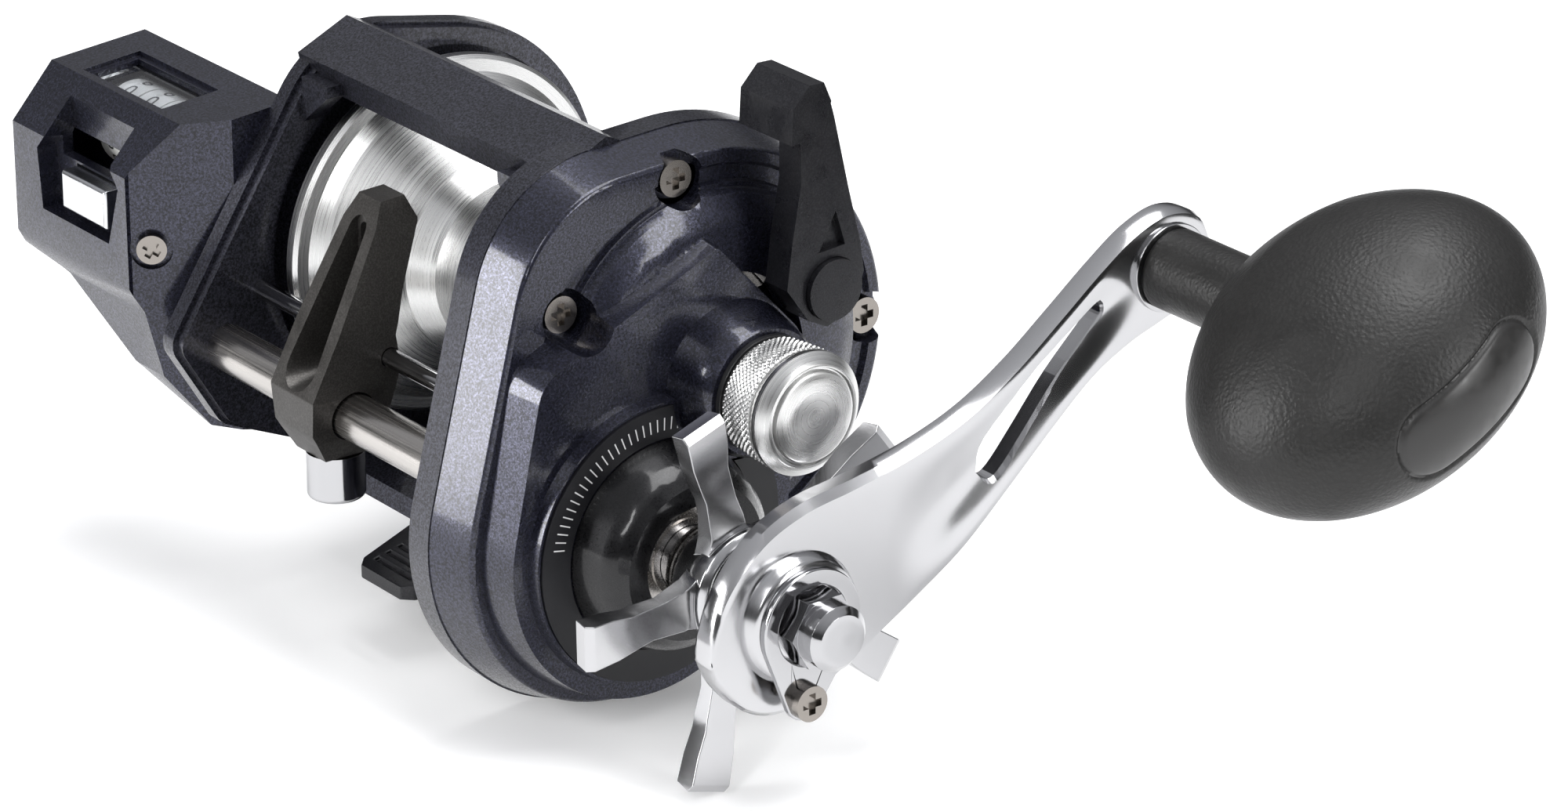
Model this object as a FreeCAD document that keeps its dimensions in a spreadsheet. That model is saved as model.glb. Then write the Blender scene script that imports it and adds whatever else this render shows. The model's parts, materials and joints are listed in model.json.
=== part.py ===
import FreeCAD, Part
import math
import os
import re
import Sketcher

# A left-hand-retrieve levelwind trolling reel with a line counter.
# Millimetres. +X points to the handle side, -Y to the line guide, +Z away from the rod.
# The origin is the middle of the reel foot's underside.

V = FreeCAD.Vector
doc = FreeCAD.newDocument("trolling_reel")
dims = doc.addObject("Spreadsheet::Sheet", "dims")

DRIVING_SIZES = {
    # axes, all parallel to X
    "spool_z": 43.65, "drive_y": -15.0, "drive_z": 21.0,
    "worm_y": -39.0, "worm_z": 32.4, "bar_y": -32.4, "bar_z": 40.6,
    "counter_y": -31.5, "counter_z": 57.0,
    "lever_y": 14.4, "lever_z": 56.2,
    # frame and side plates
    "inner_right": 28.7, "inner_left": -31.0, "plate_right": 5.0, "plate_left": 4.5,
    "ring_left": 33.5, "ring_right": 36.0, "lobe_rim": 30.8,
    "face_x": 41.9, "platform_x": 48.4, "boss_x": 50.4, "drive_boss_x": 59.4, "knob_boss_x": 56.6,
    "rim_slope": 14.0,
    # spool
    "flange": 29.5, "arbor": 14.0, "spool_left": -28.6, "spool_right": 27.0, "shaft": 2.5,
    # levelwind
    "tube": 3.7, "tube_bore": 3.1, "worm": 2.7, "bar_radius": 1.5,
    # foot
    "foot_front": -32.0, "foot_rear": 33.0, "foot_top": 5.4, "foot_tip": 2.2, "foot_half": 10.0,
    "foot_tip_half": 7.0,
    # handle side
    "drive_shaft": 4.0, "star_reach": 31.0, "star_turn": 37.0, "arm_under": 79.6, "arm_top": 84.0,
    "arm_boss": 86.4,
    "knob_y": 55.5, "knob_z": 59.0, "knob_base": 82.0,
    "grip_middle": 128.4, "grip_depth": 24.6, "grip_long": 29.0, "grip_short": 17.6, "grip_turn": 31.0,
    # gears
    "pinion_teeth": 10, "main_teeth": 63, "worm_teeth": 8, "lw_idler_teeth": 26,
    "lw_drive_teeth": 32, "lw_module": 0.6, "counter_module": 0.5, "spool_counter_teeth": 16,
    "counter_idler_teeth": 54, "counter_gear_teeth": 15,
    # running gap between parts that move past each other
    "gap": 0.3,
    # underside of the clutch lever
    "lever_x": 49.0,
}
for row, (alias, value) in enumerate(DRIVING_SIZES.items(), start=1):
    dims.set("A%d" % row, alias)
    dims.set("B%d" % row, str(value))
    dims.setAlias("B%d" % row, alias)
doc.recompute()

WORD = re.compile(r"[a-z][a-z_]*")
pieces = {}


def sheet_text(text):
    """A size written with aliases, such as 'flange - 1', as an expression on the sheet."""
    return WORD.sub(lambda found: "dims." + found.group(0), str(text))


def number(text):
    """The value of a size written with aliases."""
    return float(dims.evalExpression(sheet_text(text)))


def bind(thing, prop, text):
    thing.setExpression(prop, sheet_text(text))


def keep(label, thing):
    """Name the finished sub-part; its label names its file."""
    thing.Label = label
    pieces[label] = thing
    return thing


def place(thing, x="0", y="0", z="0"):
    for axis, text in (("x", x), ("y", y), ("z", z)):
        bind(thing, "Placement.Base." + axis, text)


def body(name):
    return doc.addObject("PartDesign::Body", name)


def sketch(owner, role="YZ_Plane", offset="0"):
    """A sketch on one of the body's own origin planes, moved along that plane's normal."""
    drawn = owner.newObject("Sketcher::SketchObject", owner.Name + "_sketch")
    plane = [p for p in owner.Origin.OriginFeatures if p.Role == role][0]
    drawn.AttachmentSupport = [(plane, "")]
    drawn.MapMode = "FlatFace"
    bind(drawn, "AttachmentOffset.Base.z", offset)
    return drawn


def hold(drawn, kind, where, text):
    """A driving constraint whose value follows the sheet."""
    index = drawn.addConstraint(Sketcher.Constraint(kind, *where, number(text)))
    bind(drawn, "Constraints[%d]" % index, text)


def polygon(drawn, points):
    """A closed outline through points, each a pair of sizes."""
    first = drawn.GeometryCount
    count = len(points)
    spots = [V(number(u), number(v), 0) for u, v in points]
    for i in range(count):
        drawn.addGeometry(Part.LineSegment(spots[i], spots[(i + 1) % count]))
    for i, (u, v) in enumerate(points):
        after = first + (i + 1) % count
        drawn.addConstraint(Sketcher.Constraint("Coincident", first + i, 2, after, 1))
        hold(drawn, "DistanceX", (-1, 1, first + i, 1), u)
        hold(drawn, "DistanceY", (-1, 1, first + i, 1), v)


def circle(drawn, u, v, radius):
    index = drawn.addGeometry(Part.Circle(V(number(u), number(v), 0), V(0, 0, 1), number(radius)))
    hold(drawn, "DistanceX", (-1, 1, index, 3), u)
    hold(drawn, "DistanceY", (-1, 1, index, 3), v)
    hold(drawn, "Radius", (index,), radius)


def belt(drawn, circles):
    """A belt round circles given counterclockwise: an arc on each, a tangent line to the next."""
    spots = [[number(size) for size in spot] for spot in circles]
    count = len(spots)
    normals = []
    for i in range(count):
        (u, v, r), (u2, v2, r2) = spots[i], spots[(i + 1) % count]
        heading = math.atan2(v2 - v, u2 - u)
        normals.append(heading - math.acos((r - r2) / math.hypot(u2 - u, v2 - v)))
    arcs = []
    for i, (u, v, r) in enumerate(spots):
        ring = Part.Circle(V(u, v, 0), V(0, 0, 1), r)
        start = normals[i - 1]
        end = start + (normals[i] - start) % (2 * math.pi)
        arcs.append(drawn.addGeometry(Part.ArcOfCircle(ring, start, end)))
    for i in range(count):
        (u, v, r), (u2, v2, r2) = spots[i], spots[(i + 1) % count]
        out = V(math.cos(normals[i]), math.sin(normals[i]), 0)
        line = drawn.addGeometry(Part.LineSegment(V(u, v, 0) + out * r, V(u2, v2, 0) + out * r2))
        drawn.addConstraint(Sketcher.Constraint("Tangent", line, 1, arcs[i], 2))
        drawn.addConstraint(Sketcher.Constraint("Tangent", line, 2, arcs[(i + 1) % count], 1))
    for arc, (u, v, r) in zip(arcs, circles):
        hold(drawn, "DistanceX", (-1, 1, arc, 3), u)
        hold(drawn, "DistanceY", (-1, 1, arc, 3), v)
        hold(drawn, "Radius", (arc,), r)


def pad(owner, drawn, length, taper=0.0):
    """A Pad of a sketch by a length along its normal."""
    feature = owner.newObject("PartDesign::Pad", owner.Name + "_pad")
    feature.Profile = drawn
    bind(feature, "Length", length)
    if taper:
        feature.TaperAngle = taper
    drawn.Visibility = False
    doc.recompute()
    return feature


def edges_at(shape, x):
    """Names of the edges that lie in the plane at x."""
    return ["Edge%d" % i for i, edge in enumerate(shape.Edges, 1)
            if abs(edge.BoundBox.XMin - x) < 1e-4 and abs(edge.BoundBox.XMax - x) < 1e-4]


def soften(owner, x, radius):
    """Round the edges of a body's end face at x."""
    plane = number(x)
    tip = owner.Tip
    rounded = owner.newObject("PartDesign::Fillet", owner.Name + "_round")
    rounded.Base = (tip, edges_at(tip.Shape, plane))
    bind(rounded, "Radius", radius)
    tip.Visibility = False
    doc.recompute()


def lathe(name, profile, y="0", z="0"):
    """A turned piece: a profile of (x, radius) sizes revolved about an axis parallel to X."""
    owner = body(name)
    drawn = sketch(owner, "XY_Plane")
    polygon(drawn, profile)
    turn = owner.newObject("PartDesign::Revolution", name + "_turn")
    turn.Profile = drawn
    turn.ReferenceAxis = (drawn, ["H_Axis"])
    turn.Angle = 360
    place(owner, "0", y, z)
    doc.recompute()
    return owner


def ring(name, start, end, inner, outer, y="0", z="0"):
    return lathe(name, [(start, inner), (end, inner), (end, outer), (start, outer)], y, z)


def rod(name, start, end, radius, y="0", z="0"):
    """A plain cylinder along X."""
    made = doc.addObject("Part::Cylinder", name)
    bind(made, "Radius", radius)
    bind(made, "Height", "(%s) - (%s)" % (end, start))
    made.Placement = FreeCAD.Placement(V(), FreeCAD.Rotation(V(0, 1, 0), 90))
    place(made, start, y, z)
    return made


def block(name, low, high):
    """A box between two corners, each three sizes."""
    made = doc.addObject("Part::Box", name)
    for prop, a, b in zip(("Length", "Width", "Height"), low, high):
        bind(made, prop, "(%s) - (%s)" % (b, a))
    place(made, *low)
    return made


def prism(name, outline, start, end, role="YZ_Plane"):
    """A polygon padded along its plane's normal from start to end."""
    owner = body(name)
    drawn = sketch(owner, role, start)
    polygon(drawn, outline)
    pad(owner, drawn, "(%s) - (%s)" % (end, start))
    return owner


def fuse(name, *things):
    made = doc.addObject("Part::MultiFuse", name)
    made.Shapes = list(things)
    return made


def cut(name, base, *tools):
    made = doc.addObject("Part::Cut", name)
    made.Base = base
    made.Tool = tools[0] if len(tools) == 1 else fuse(name + "_tools", *tools)
    return made


def group(label, things):
    made = doc.addObject("Part::Compound", label)
    made.Links = things
    return keep(label, made)


# ---------------------------------------------------------------- frame
RIGHT_RIM = [("0", "spool_z", "ring_right"), ("-14.5", "56.5", "22.5"), ("drive_y", "drive_z", "lobe_rim")]
LEFT_RIM = [("0", "spool_z", "ring_left"), ("-9.5", "61", "18.3"), ("-44", "34", "4"),
            ("-36.5", "22.5", "4.5"), ("-14", "12", "4"), ("12", "10", "4")]
BRIDGE = [("-21.3", "76.2"), ("-20.2", "71.6"), ("-9.4", "75.6"), ("-8.2", "78.6"), ("-12", "80.4")]
BASE = [("-20", "5.4"), ("20", "5.4"), ("19", "8.2"), ("9", "11.6"), ("-9", "11.6"), ("-19", "8.2")]


def smaller(circles, margin):
    """The same belt, pulled in all round by a margin."""
    return [(u, v, "%s - %s" % (r, margin)) for u, v, r in circles]


def make_frame():
    """One-piece frame: left and right rings, top bridge, and the base that the foot screws to."""
    left, right = "inner_left - plate_left", "inner_right + plate_right"
    owner = body("frame_body")
    for outline in (BRIDGE, BASE):
        drawn = sketch(owner, offset=left)
        polygon(drawn, outline)
        pad(owner, drawn, "(%s) - (%s)" % (right, left))
    drawn = sketch(owner, offset=left)
    belt(drawn, LEFT_RIM)
    circle(drawn, "0", "spool_z", "29.9")
    pad(owner, drawn, "plate_left - 1.6")
    drawn = sketch(owner, offset="inner_left - 1.6")
    belt(drawn, smaller(LEFT_RIM, "0.8"))
    circle(drawn, "0", "spool_z", "29.9")
    pad(owner, drawn, "1.6")
    drawn = sketch(owner, offset="inner_right")
    belt(drawn, RIGHT_RIM)
    circle(drawn, "0", "spool_z", "9")
    circle(drawn, "drive_y", "drive_z", "4.4")
    pad(owner, drawn, "plate_right")
    web = rod("left_web", left, "inner_left - 2.4", "30.2", "0", "spool_z")
    corners = []
    for i, side in enumerate(("inner_right - %s", "inner_left + %s")):
        outline = [(side % 0, "66.5"), (side % 0, "74"), (side % 7, "74"), (side % 7, "72.2")]
        corners.append(prism("window_corner_%d" % i, outline, "20.4", "23.6", "XZ_Plane"))
    bores = [rod("shaft_bore", "-40", "-30", "6", "0", "spool_z"),
             rod("worm_bore", "inner_left - 1.5", right + " + 1", "tube", "worm_y", "worm_z"),
             rod("bar_bore", "inner_left - 3", "inner_right + 3", "bar_radius", "bar_y", "bar_z"),
             rod("lw_axle_bore", "inner_right + 2", right + " + 1", "1.2",
                 str(LW_IDLER[0]), str(LW_IDLER[1])),
             rod("counter_axle_bore", left + " - 1", "inner_left - 2.9", "1.2",
                 str(COUNTER_IDLER[0]), str(COUNTER_IDLER[1]))]
    for i, (x, y) in enumerate(FOOT_SCREWS):
        bore = doc.addObject("Part::Cylinder", "foot_thread_%d" % i)
        bind(bore, "Radius", "1.5")
        bind(bore, "Height", "5.6")
        place(bore, str(x), str(y), "5")
        bores.append(bore)
    for i, (y, z) in enumerate(COVER_SCREWS):
        bores.append(rod("cover_thread_%d" % i, "inner_right + 1", right + " + 1", "1.25", str(y), str(z)))
    for i, (y, z) in enumerate(LEFT_SCREWS):
        bores.append(rod("left_thread_%d" % i, left + " - 1", "inner_left - 1", "1.25", str(y), str(z)))
    for i, (y, z) in enumerate(YOKE_POSTS):
        bores.append(rod("post_bore_%d" % i, "inner_right + 2", right + " + 1", "1.2", str(y), str(z)))
    keep("frame", cut("frame_cut", fuse("frame_joined", owner, web, *corners), *bores))


FOOT_SCREWS = [(x, y) for x in (-5.5, 5.5) for y in (-9.0, 9.0)]
COVER_SCREWS = [(-4.5, 74.0), (-25.8, 57.4), (31.4, 43.3), (-1.2, -2.8)]
POST_RADII = (3.6, 5.4, 3.6, 3.6)
LEFT_SCREWS = [(24.0 * math.cos(a), 43.65 + 24.0 * math.sin(a)) for a in (-1.6, -0.3, 1.0)]
FLANK_INWARD = (-0.8384, 0.5450, 0)
FLANK_SCREW = (-42.3, -45.2, 46.6)
SPACING = math.hypot(number("drive_y"), number("spool_z - drive_z"))
ACROSS = ((number("spool_z - drive_z")) / SPACING, number("drive_y") / SPACING)
YOKE_POSTS = [(side * 12.0 * ACROSS[0], 43.65 + side * 12.0 * ACROSS[1]) for side in (1, -1)]


def between(start, end, first, second, side):
    """The point at one distance from start and another from end, on the named side of the line."""
    span = math.hypot(end[0] - start[0], end[1] - start[1])
    heading = math.atan2(end[1] - start[1], end[0] - start[0])
    turn = side * math.acos((first ** 2 + span ** 2 - second ** 2) / (2 * first * span))
    return (start[0] + first * math.cos(heading + turn), start[1] + first * math.sin(heading + turn))


def pitch(module, teeth):
    return number(module) * number(teeth) / 2


SPOOL_AXIS = (0.0, number("spool_z"))
DRIVE_AXIS = (number("drive_y"), number("drive_z"))
WORM_AXIS = (number("worm_y"), number("worm_z"))
COUNTER_AXIS = (number("counter_y"), number("counter_z"))
LW_IDLER = between(DRIVE_AXIS, WORM_AXIS, pitch("lw_module", "lw_drive_teeth + lw_idler_teeth"),
                   pitch("lw_module", "lw_idler_teeth + worm_teeth"), -1)
COUNTER_IDLER = between(SPOOL_AXIS, COUNTER_AXIS,
                        pitch("counter_module", "spool_counter_teeth + counter_idler_teeth"),
                        pitch("counter_module", "counter_idler_teeth + counter_gear_teeth"), -1)


def make_foot():
    """Reel foot: a wedge-ended plate that the rod's hoods grip, ribbed on its front tip."""
    side = prism("foot_side", [("foot_front", "0"), ("foot_rear", "0"), ("foot_rear", "foot_tip"),
                               ("19", "foot_top"), ("-18", "foot_top"), ("foot_front", "foot_tip")],
                 "-foot_half", "foot_half")
    plan = body("foot_plan")
    drawn = sketch(plan, "XY_Plane")
    polygon(drawn, [("-foot_tip_half", "foot_front + 1.5"), ("-foot_tip_half + 1.5", "foot_front"),
                    ("foot_tip_half - 1.5", "foot_front"), ("foot_tip_half", "foot_front + 1.5"),
                    ("foot_half", "-14"), ("foot_half", "15"), ("foot_tip_half", "foot_rear - 1.5"),
                    ("foot_tip_half - 1.5", "foot_rear"), ("-foot_tip_half + 1.5", "foot_rear"),
                    ("-foot_tip_half", "foot_rear - 1.5"), ("-foot_half", "15"), ("-foot_half", "-14")])
    pad(plan, drawn, "foot_top + 2")
    shaped = doc.addObject("Part::Common", "foot_shaped")
    shaped.Base = side
    shaped.Tool = plan
    tools = []
    for i in range(5):
        low = ("-5", "foot_front + %g" % (2.2 + 2.2 * i), "foot_tip + %g" % (0.1 + 0.5 * i))
        high = ("5", "foot_front + %g" % (3.2 + 2.2 * i), "foot_top + 1")
        tools.append(block("foot_groove_%d" % i, low, high))
    for i, (x, y) in enumerate(FOOT_SCREWS):
        for size, low, high in (("1.6", "-1", "6"), ("2.9", "-1", "1.9")):
            hole = doc.addObject("Part::Cylinder", "foot_hole_%d" % i)
            bind(hole, "Radius", size)
            bind(hole, "Height", "(%s) - (%s)" % (high, low))
            place(hole, str(x), str(y), low)
            tools.append(hole)
    keep("reel_foot", cut("foot_cut", shaped, *tools))


def screw(name, head, head_depth, shank, length, where, direction):
    """A pan-head screw with a cross recess; direction points from the head into the work."""
    turn = FreeCAD.Rotation(V(0, 0, 1), V(*direction))
    parts = []
    for radius, height, start in ((head, head_depth, 0.0), (shank, length, 0.0)):
        made = doc.addObject("Part::Cylinder", name + "_cylinder")
        bind(made, "Radius", radius)
        bind(made, "Height", height)
        parts.append(made)
    joined = fuse(name + "_blank", *parts)
    slots = []
    long_way, short_way = "0.5 * (%s)" % head, "0.18 * (%s)" % head
    for wide, deep in ((long_way, short_way), (short_way, long_way)):
        slot = block(name + "_slot", ("-1.2 * (%s)" % wide, "-1.2 * (%s)" % deep, "-0.1"),
                     ("1.2 * (%s)" % wide, "1.2 * (%s)" % deep, "0.5 * (%s)" % head_depth))
        slots.append(slot)
    made = cut(name, joined, *slots)
    made.Placement = FreeCAD.Placement(V(*where), turn)
    return made


def make_frame_screws():
    group("foot_screws", [screw("foot_screw", "2.6", "1.6", "1.5", "9.5", (x, y, 0.2), (0, 0, 1))
                          for x, y in FOOT_SCREWS])
    group("gear_cover_screws", [screw("cover_screw", "2.9", "1.8", "1.25", "10.4", (40.7, y, z), (-1, 0, 0))
                                for y, z in COVER_SCREWS])
    left = [screw("left_screw", "2.4", "1.4", "1.25", "9", (-44, y, z), (1, 0, 0))
            for y, z in LEFT_SCREWS]
    left.append(screw("flank_screw", "2.4", "1.4", "1.25", "5.5", FLANK_SCREW, FLANK_INWARD))
    group("counter_cover_screws", left)


# ---------------------------------------------------------------- handle-side cover
def make_gear_side_cover():
    """Handle-side cover: sloping rim, sunk ring, dome, raised platform, drive and tension bosses."""
    start = "inner_right + plate_right"
    owner = body("gear_cover_body")
    drawn = sketch(owner, offset=start)
    belt(drawn, smaller(RIGHT_RIM, "0.2"))
    pad(owner, drawn, "face_x - inner_right - plate_right", taper=-number("rim_slope"))
    soften(owner, "face_x", "0.9")
    valley = lathe("cover_valley", [("face_x + 1", "28.2"), ("face_x - 0.9", "28.8"), ("face_x - 0.9", "31"),
                                    ("face_x + 1", "32.4")], "0", "spool_z")
    rim = cut("cover_rim", owner, valley)
    platform = body("gear_cover_platform")
    drawn = sketch(platform, offset="face_x - 1.4")
    belt(drawn, [("-2.7", "63.9", "2.2"), ("-29.5", "46.5", "7.5"), ("drive_y", "drive_z", "27"),
                 ("8.5", "46", "6")])
    pad(platform, drawn, "platform_x - face_x + 1.4", taper=-10)
    dome = lathe("cover_dome", [("face_x - 1.4", "0"), ("face_x - 1.4", "28.4"), ("face_x + 1.4", "27.2"),
                                ("face_x + 2.9", "24"), ("face_x + 3.8", "19"), ("face_x + 4.1", "0")],
                 "0", "spool_z")
    drive_boss = lathe("drive_boss", [("face_x", "0"), ("face_x", "24.5"), ("boss_x", "22.6"),
                                      ("boss_x", "16.8"), ("boss_x + 1.4", "16.4"),
                                      ("drive_boss_x - 2", "14.6"), ("drive_boss_x", "12.4"),
                                      ("drive_boss_x", "0")], "drive_y", "drive_z")
    knob_boss = lathe("knob_boss", [("face_x", "0"), ("face_x", "15"), ("platform_x", "12.2"),
                                    ("knob_boss_x - 1", "10.6"), ("knob_boss_x", "10"),
                                    ("knob_boss_x", "7.2"), ("knob_boss_x + 5.4", "7.2"),
                                    ("knob_boss_x + 5.4", "0")], "0", "spool_z")
    lever_boss = rod("lever_boss", "face_x - 1", "lever_x - 0.3", "6", "lever_y", "lever_z")
    shell = fuse("gear_cover_solid", rim, platform, dome, drive_boss, knob_boss, lever_boss)
    hollow = body("gear_cover_hollow")
    drawn = sketch(hollow, offset=start + " - 1")
    belt(drawn, smaller(RIGHT_RIM, "4.7"))
    pad(hollow, drawn, "7.2")
    ring_seat = cut("drive_ring_seat",
                    ring("ring_seat_ring", "boss_x - 0.5", "boss_x + 0.01", "16.8", "22.1",
                         "drive_y", "drive_z"),
                    rod("ring_seat_clear", "boss_x - 1", "boss_x + 1", "12.6", "0", "spool_z"))
    rooms = [hollow, ring_seat,
             rod("main_gear_room", start, "43.9", "25", "drive_y", "drive_z"),
             rod("stack_room", start, "45.9", "17.6", "drive_y", "drive_z"),
             rod("yoke_room", start, "46.7", "15.6", "0", "spool_z"),
             rod("pinion_room", start, "50.6", "6.5", "0", "spool_z"),
             rod("tension_bore", "50", "knob_boss_x + 7", "5", "0", "spool_z"),
             rod("drive_bore", start, "drive_boss_x + 1", "9", "drive_y", "drive_z"),
             rod("worm_room", start, "37", "3.4", "worm_y", "worm_z"),
             rod("lever_bore", "face_x - 5", "lever_x", "2.05", "lever_y", "lever_z")]
    posts, holes = [], [rod("gear_sweep", "36.2", "40.4", "24.7", "drive_y", "drive_z")]
    for i, (y, z) in enumerate(COVER_SCREWS):
        posts.append(rod("cover_post_%d" % i, start, "face_x - 1.2", str(POST_RADII[i]), str(y), str(z)))
        holes.append(rod("cover_head_%d" % i, "38.9", "60", "4.2", str(y), str(z)))
        holes.append(rod("cover_hole_%d" % i, start + " - 1", "60", "1.35", str(y), str(z)))
    joined = fuse("gear_cover_joined", cut("gear_cover_hollowed", shell, *rooms), *posts)
    keep("gear_side_cover", cut("gear_cover_cut", joined, *holes))
    keep("drive_boss_ring", cut("boss_ring_cut",
                                ring("boss_ring", "boss_x - 0.5", "boss_x + 0.4", "16.9", "22",
                                     "drive_y", "drive_z"),
                                rod("boss_ring_clear", "boss_x - 1", "boss_x + 1", "12.7", "0", "spool_z")))


# ---------------------------------------------------------------- spool and its bearings
def make_spool():
    """Machined spool: thick flanges with turned rims, a wide coned arbor, a hollow core."""
    keep("spool", lathe("spool_body", [
        ("spool_left", "3.4"), ("spool_left", "6"), ("spool_left + 1.4", "8"), ("spool_left + 1.4", "25.6"),
        ("spool_left", "26"), ("spool_left", "flange - 0.6"), ("spool_left + 0.6", "flange"),
        ("spool_left + 2.2", "flange"), ("spool_left + 2.8", "flange - 0.6"), ("spool_left + 3", "27"),
        ("spool_left + 5", "25.4"), ("spool_left + 14", "arbor + 2.2"), ("spool_left + 19", "arbor"),
        ("spool_right - 10", "arbor"), ("spool_right - 9.6", "arbor - 0.6"),
        ("spool_right - 9", "arbor - 0.6"),
        ("spool_right - 8.6", "arbor"), ("spool_right - 7.4", "arbor"), ("spool_right - 7", "arbor - 0.6"),
        ("spool_right - 6.4", "arbor - 0.6"), ("spool_right - 6", "arbor + 0.4"),
        ("spool_right - 3.4", "arbor + 5"), ("spool_right - 2.6", "27"),
        ("spool_right - 2.4", "flange - 0.6"),
        ("spool_right - 1.8", "flange"), ("spool_right - 0.6", "flange"), ("spool_right", "flange - 0.6"),
        ("spool_right", "26"), ("spool_right - 1.2", "25.6"), ("spool_right - 1.2", "8"),
        ("spool_right", "6"), ("spool_right", "3.4"), ("spool_right - 8", "2.5"), ("spool_left + 8", "2.5")],
        "0", "spool_z"))
    keep("spool_shaft", lathe("spool_shaft_body", [
        ("-43.5", "0"), ("-43.5", "1.7"), ("-43.1", "2.1"), ("spool_left - 8.8", "2.1"),
        ("spool_left - 8.8", "2.5"), ("48.8", "2.5"), ("49", "2.4"), ("60.4", "2.4"), ("61.2", "1.8"),
        ("61.4", "0")],
        "0", "spool_z"))
    group("spool_bearings", [make_bearing("left_bearing", "-43.6", "-40.2", "2.13", "5", "0", "spool_z"),
                             make_bearing("right_bearing", "53.2", "57.2", "2.45", "5", "0", "spool_z")])


def make_bearing(name, start, end, bore, outer, y, z):
    """A shielded ball bearing drawn closed, with its two races marked by grooves."""
    inner_race = "(%s) + 1.1" % bore
    outer_race = "(%s) - 1.0" % outer
    return lathe(name, [(start, bore), (end, bore), (end, inner_race), ("(%s) - 0.3" % end, inner_race),
                        ("(%s) - 0.3" % end, outer_race), (end, outer_race), (end, outer), (start, outer),
                        (start, outer_race), ("(%s) + 0.3" % start, outer_race),
                        ("(%s) + 0.3" % start, inner_race), (start, inner_race)], y, z)


# ---------------------------------------------------------------- gears
def involute(angle):
    return math.tan(angle) - angle


def gear_shape(module, teeth, width, bore, phase, slim=0.14):
    """A spur gear along X with involute flanks, a tooth centred on the angle called phase."""
    pressure = math.radians(20)
    pitch_radius = module * teeth / 2
    base = pitch_radius * math.cos(pressure)
    tip = pitch_radius + 0.95 * module
    root = max(pitch_radius - 1.2 * module, bore + 0.3)
    half = math.pi / (2 * teeth) - slim * module / pitch_radius
    radii = [max(base, root) + (tip - max(base, root)) * step / 3 for step in range(4)]
    flank = []
    for radius in radii:
        lean = involute(math.acos(min(1.0, base / radius)))
        flank.append((radius, half + involute(pressure) - lean))
    points = []
    for tooth in range(teeth):
        middle = phase + 2 * math.pi * tooth / teeth
        side = [(root, middle - flank[0][1])] if root < radii[0] else []
        side += [(radius, middle - lean) for radius, lean in flank]
        side += [(radius, middle + lean) for radius, lean in reversed(flank)]
        side += [(root, middle + flank[0][1])] if root < radii[0] else []
        points += [V(0, radius * math.cos(a), radius * math.sin(a)) for radius, a in side]
    outline = Part.Face(Part.makePolygon(points + points[:1]))
    solid = outline.extrude(V(width, 0, 0))
    return solid.cut(Part.makeCylinder(bore, width * 3, V(-width, 0, 0), V(1, 0, 0)))


def gear(name, module, teeth, start, end, bore, axis, phase):
    """A gear as a document object: its shape is worked out from the sheet, then it is placed."""
    made = doc.addObject("Part::Feature", name)
    made.Shape = gear_shape(module, teeth, end - start, bore, phase)
    made.Placement = FreeCAD.Placement(V(start, axis[0], axis[1]), FreeCAD.Rotation())
    return made


def heading(start, end):
    return math.atan2(end[1] - start[1], end[0] - start[0])


def meshing(phase, teeth, direction, other_teeth):
    """The phase of a gear that meshes with one whose teeth sit at phase, in the given direction."""
    step = 2 * math.pi / teeth
    nearest = phase + round((direction - phase) / step) * step - direction
    return direction + math.pi - nearest * teeth / other_teeth + math.pi / other_teeth


MAIN_MODULE = 2 * SPACING / number("main_teeth + pinion_teeth")


def make_drive_gears():
    main_teeth = int(number("main_teeth"))
    pinion_teeth = int(number("pinion_teeth"))
    towards = heading(DRIVE_AXIS, SPOOL_AXIS)
    rim = gear("main_gear_rim", MAIN_MODULE, main_teeth, 36.6, 39.6, 4.1, DRIVE_AXIS, towards)
    cup = rod("drag_cup", "37.8", "40", "19.4", "drive_y", "drive_z")
    keep("drive_gear", cut("drive_gear_cut", rim, cup))
    phase = meshing(towards, main_teeth, towards, pinion_teeth)
    toothed = gear("pinion_teeth_part", MAIN_MODULE, pinion_teeth, 35.2, 41.4, 2.58, SPOOL_AXIS, phase)
    neck = ring("pinion_neck", "41.4", "44.2", "2.58", "3.4", "0", "spool_z")
    collar = ring("pinion_collar", "43.9", "45.4", "2.58", "4.6", "0", "spool_z")
    keep("pinion_gear", fuse("pinion_fused", toothed, neck, collar))


def make_levelwind_gears():
    module = number("lw_module")
    drive_teeth, idler_teeth, worm_teeth = [int(number(k)) for k in
                                            ("lw_drive_teeth", "lw_idler_teeth", "worm_teeth")]
    towards = heading(DRIVE_AXIS, LW_IDLER)
    keep("levelwind_drive_gear", gear("lw_drive", module, drive_teeth, 34.2, 35.9, 4.02, DRIVE_AXIS, towards))
    phase = meshing(towards, drive_teeth, towards, idler_teeth)
    keep("levelwind_idler_gear", gear("lw_idler", module, idler_teeth, 34.2, 35.9, 1.25, LW_IDLER, phase))
    onward = heading(LW_IDLER, WORM_AXIS)
    phase = meshing(phase, idler_teeth, onward, worm_teeth)
    keep("worm_gear", gear("worm_end_gear", module, worm_teeth, 34.2, 35.9, 1.5, WORM_AXIS, phase))


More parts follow.
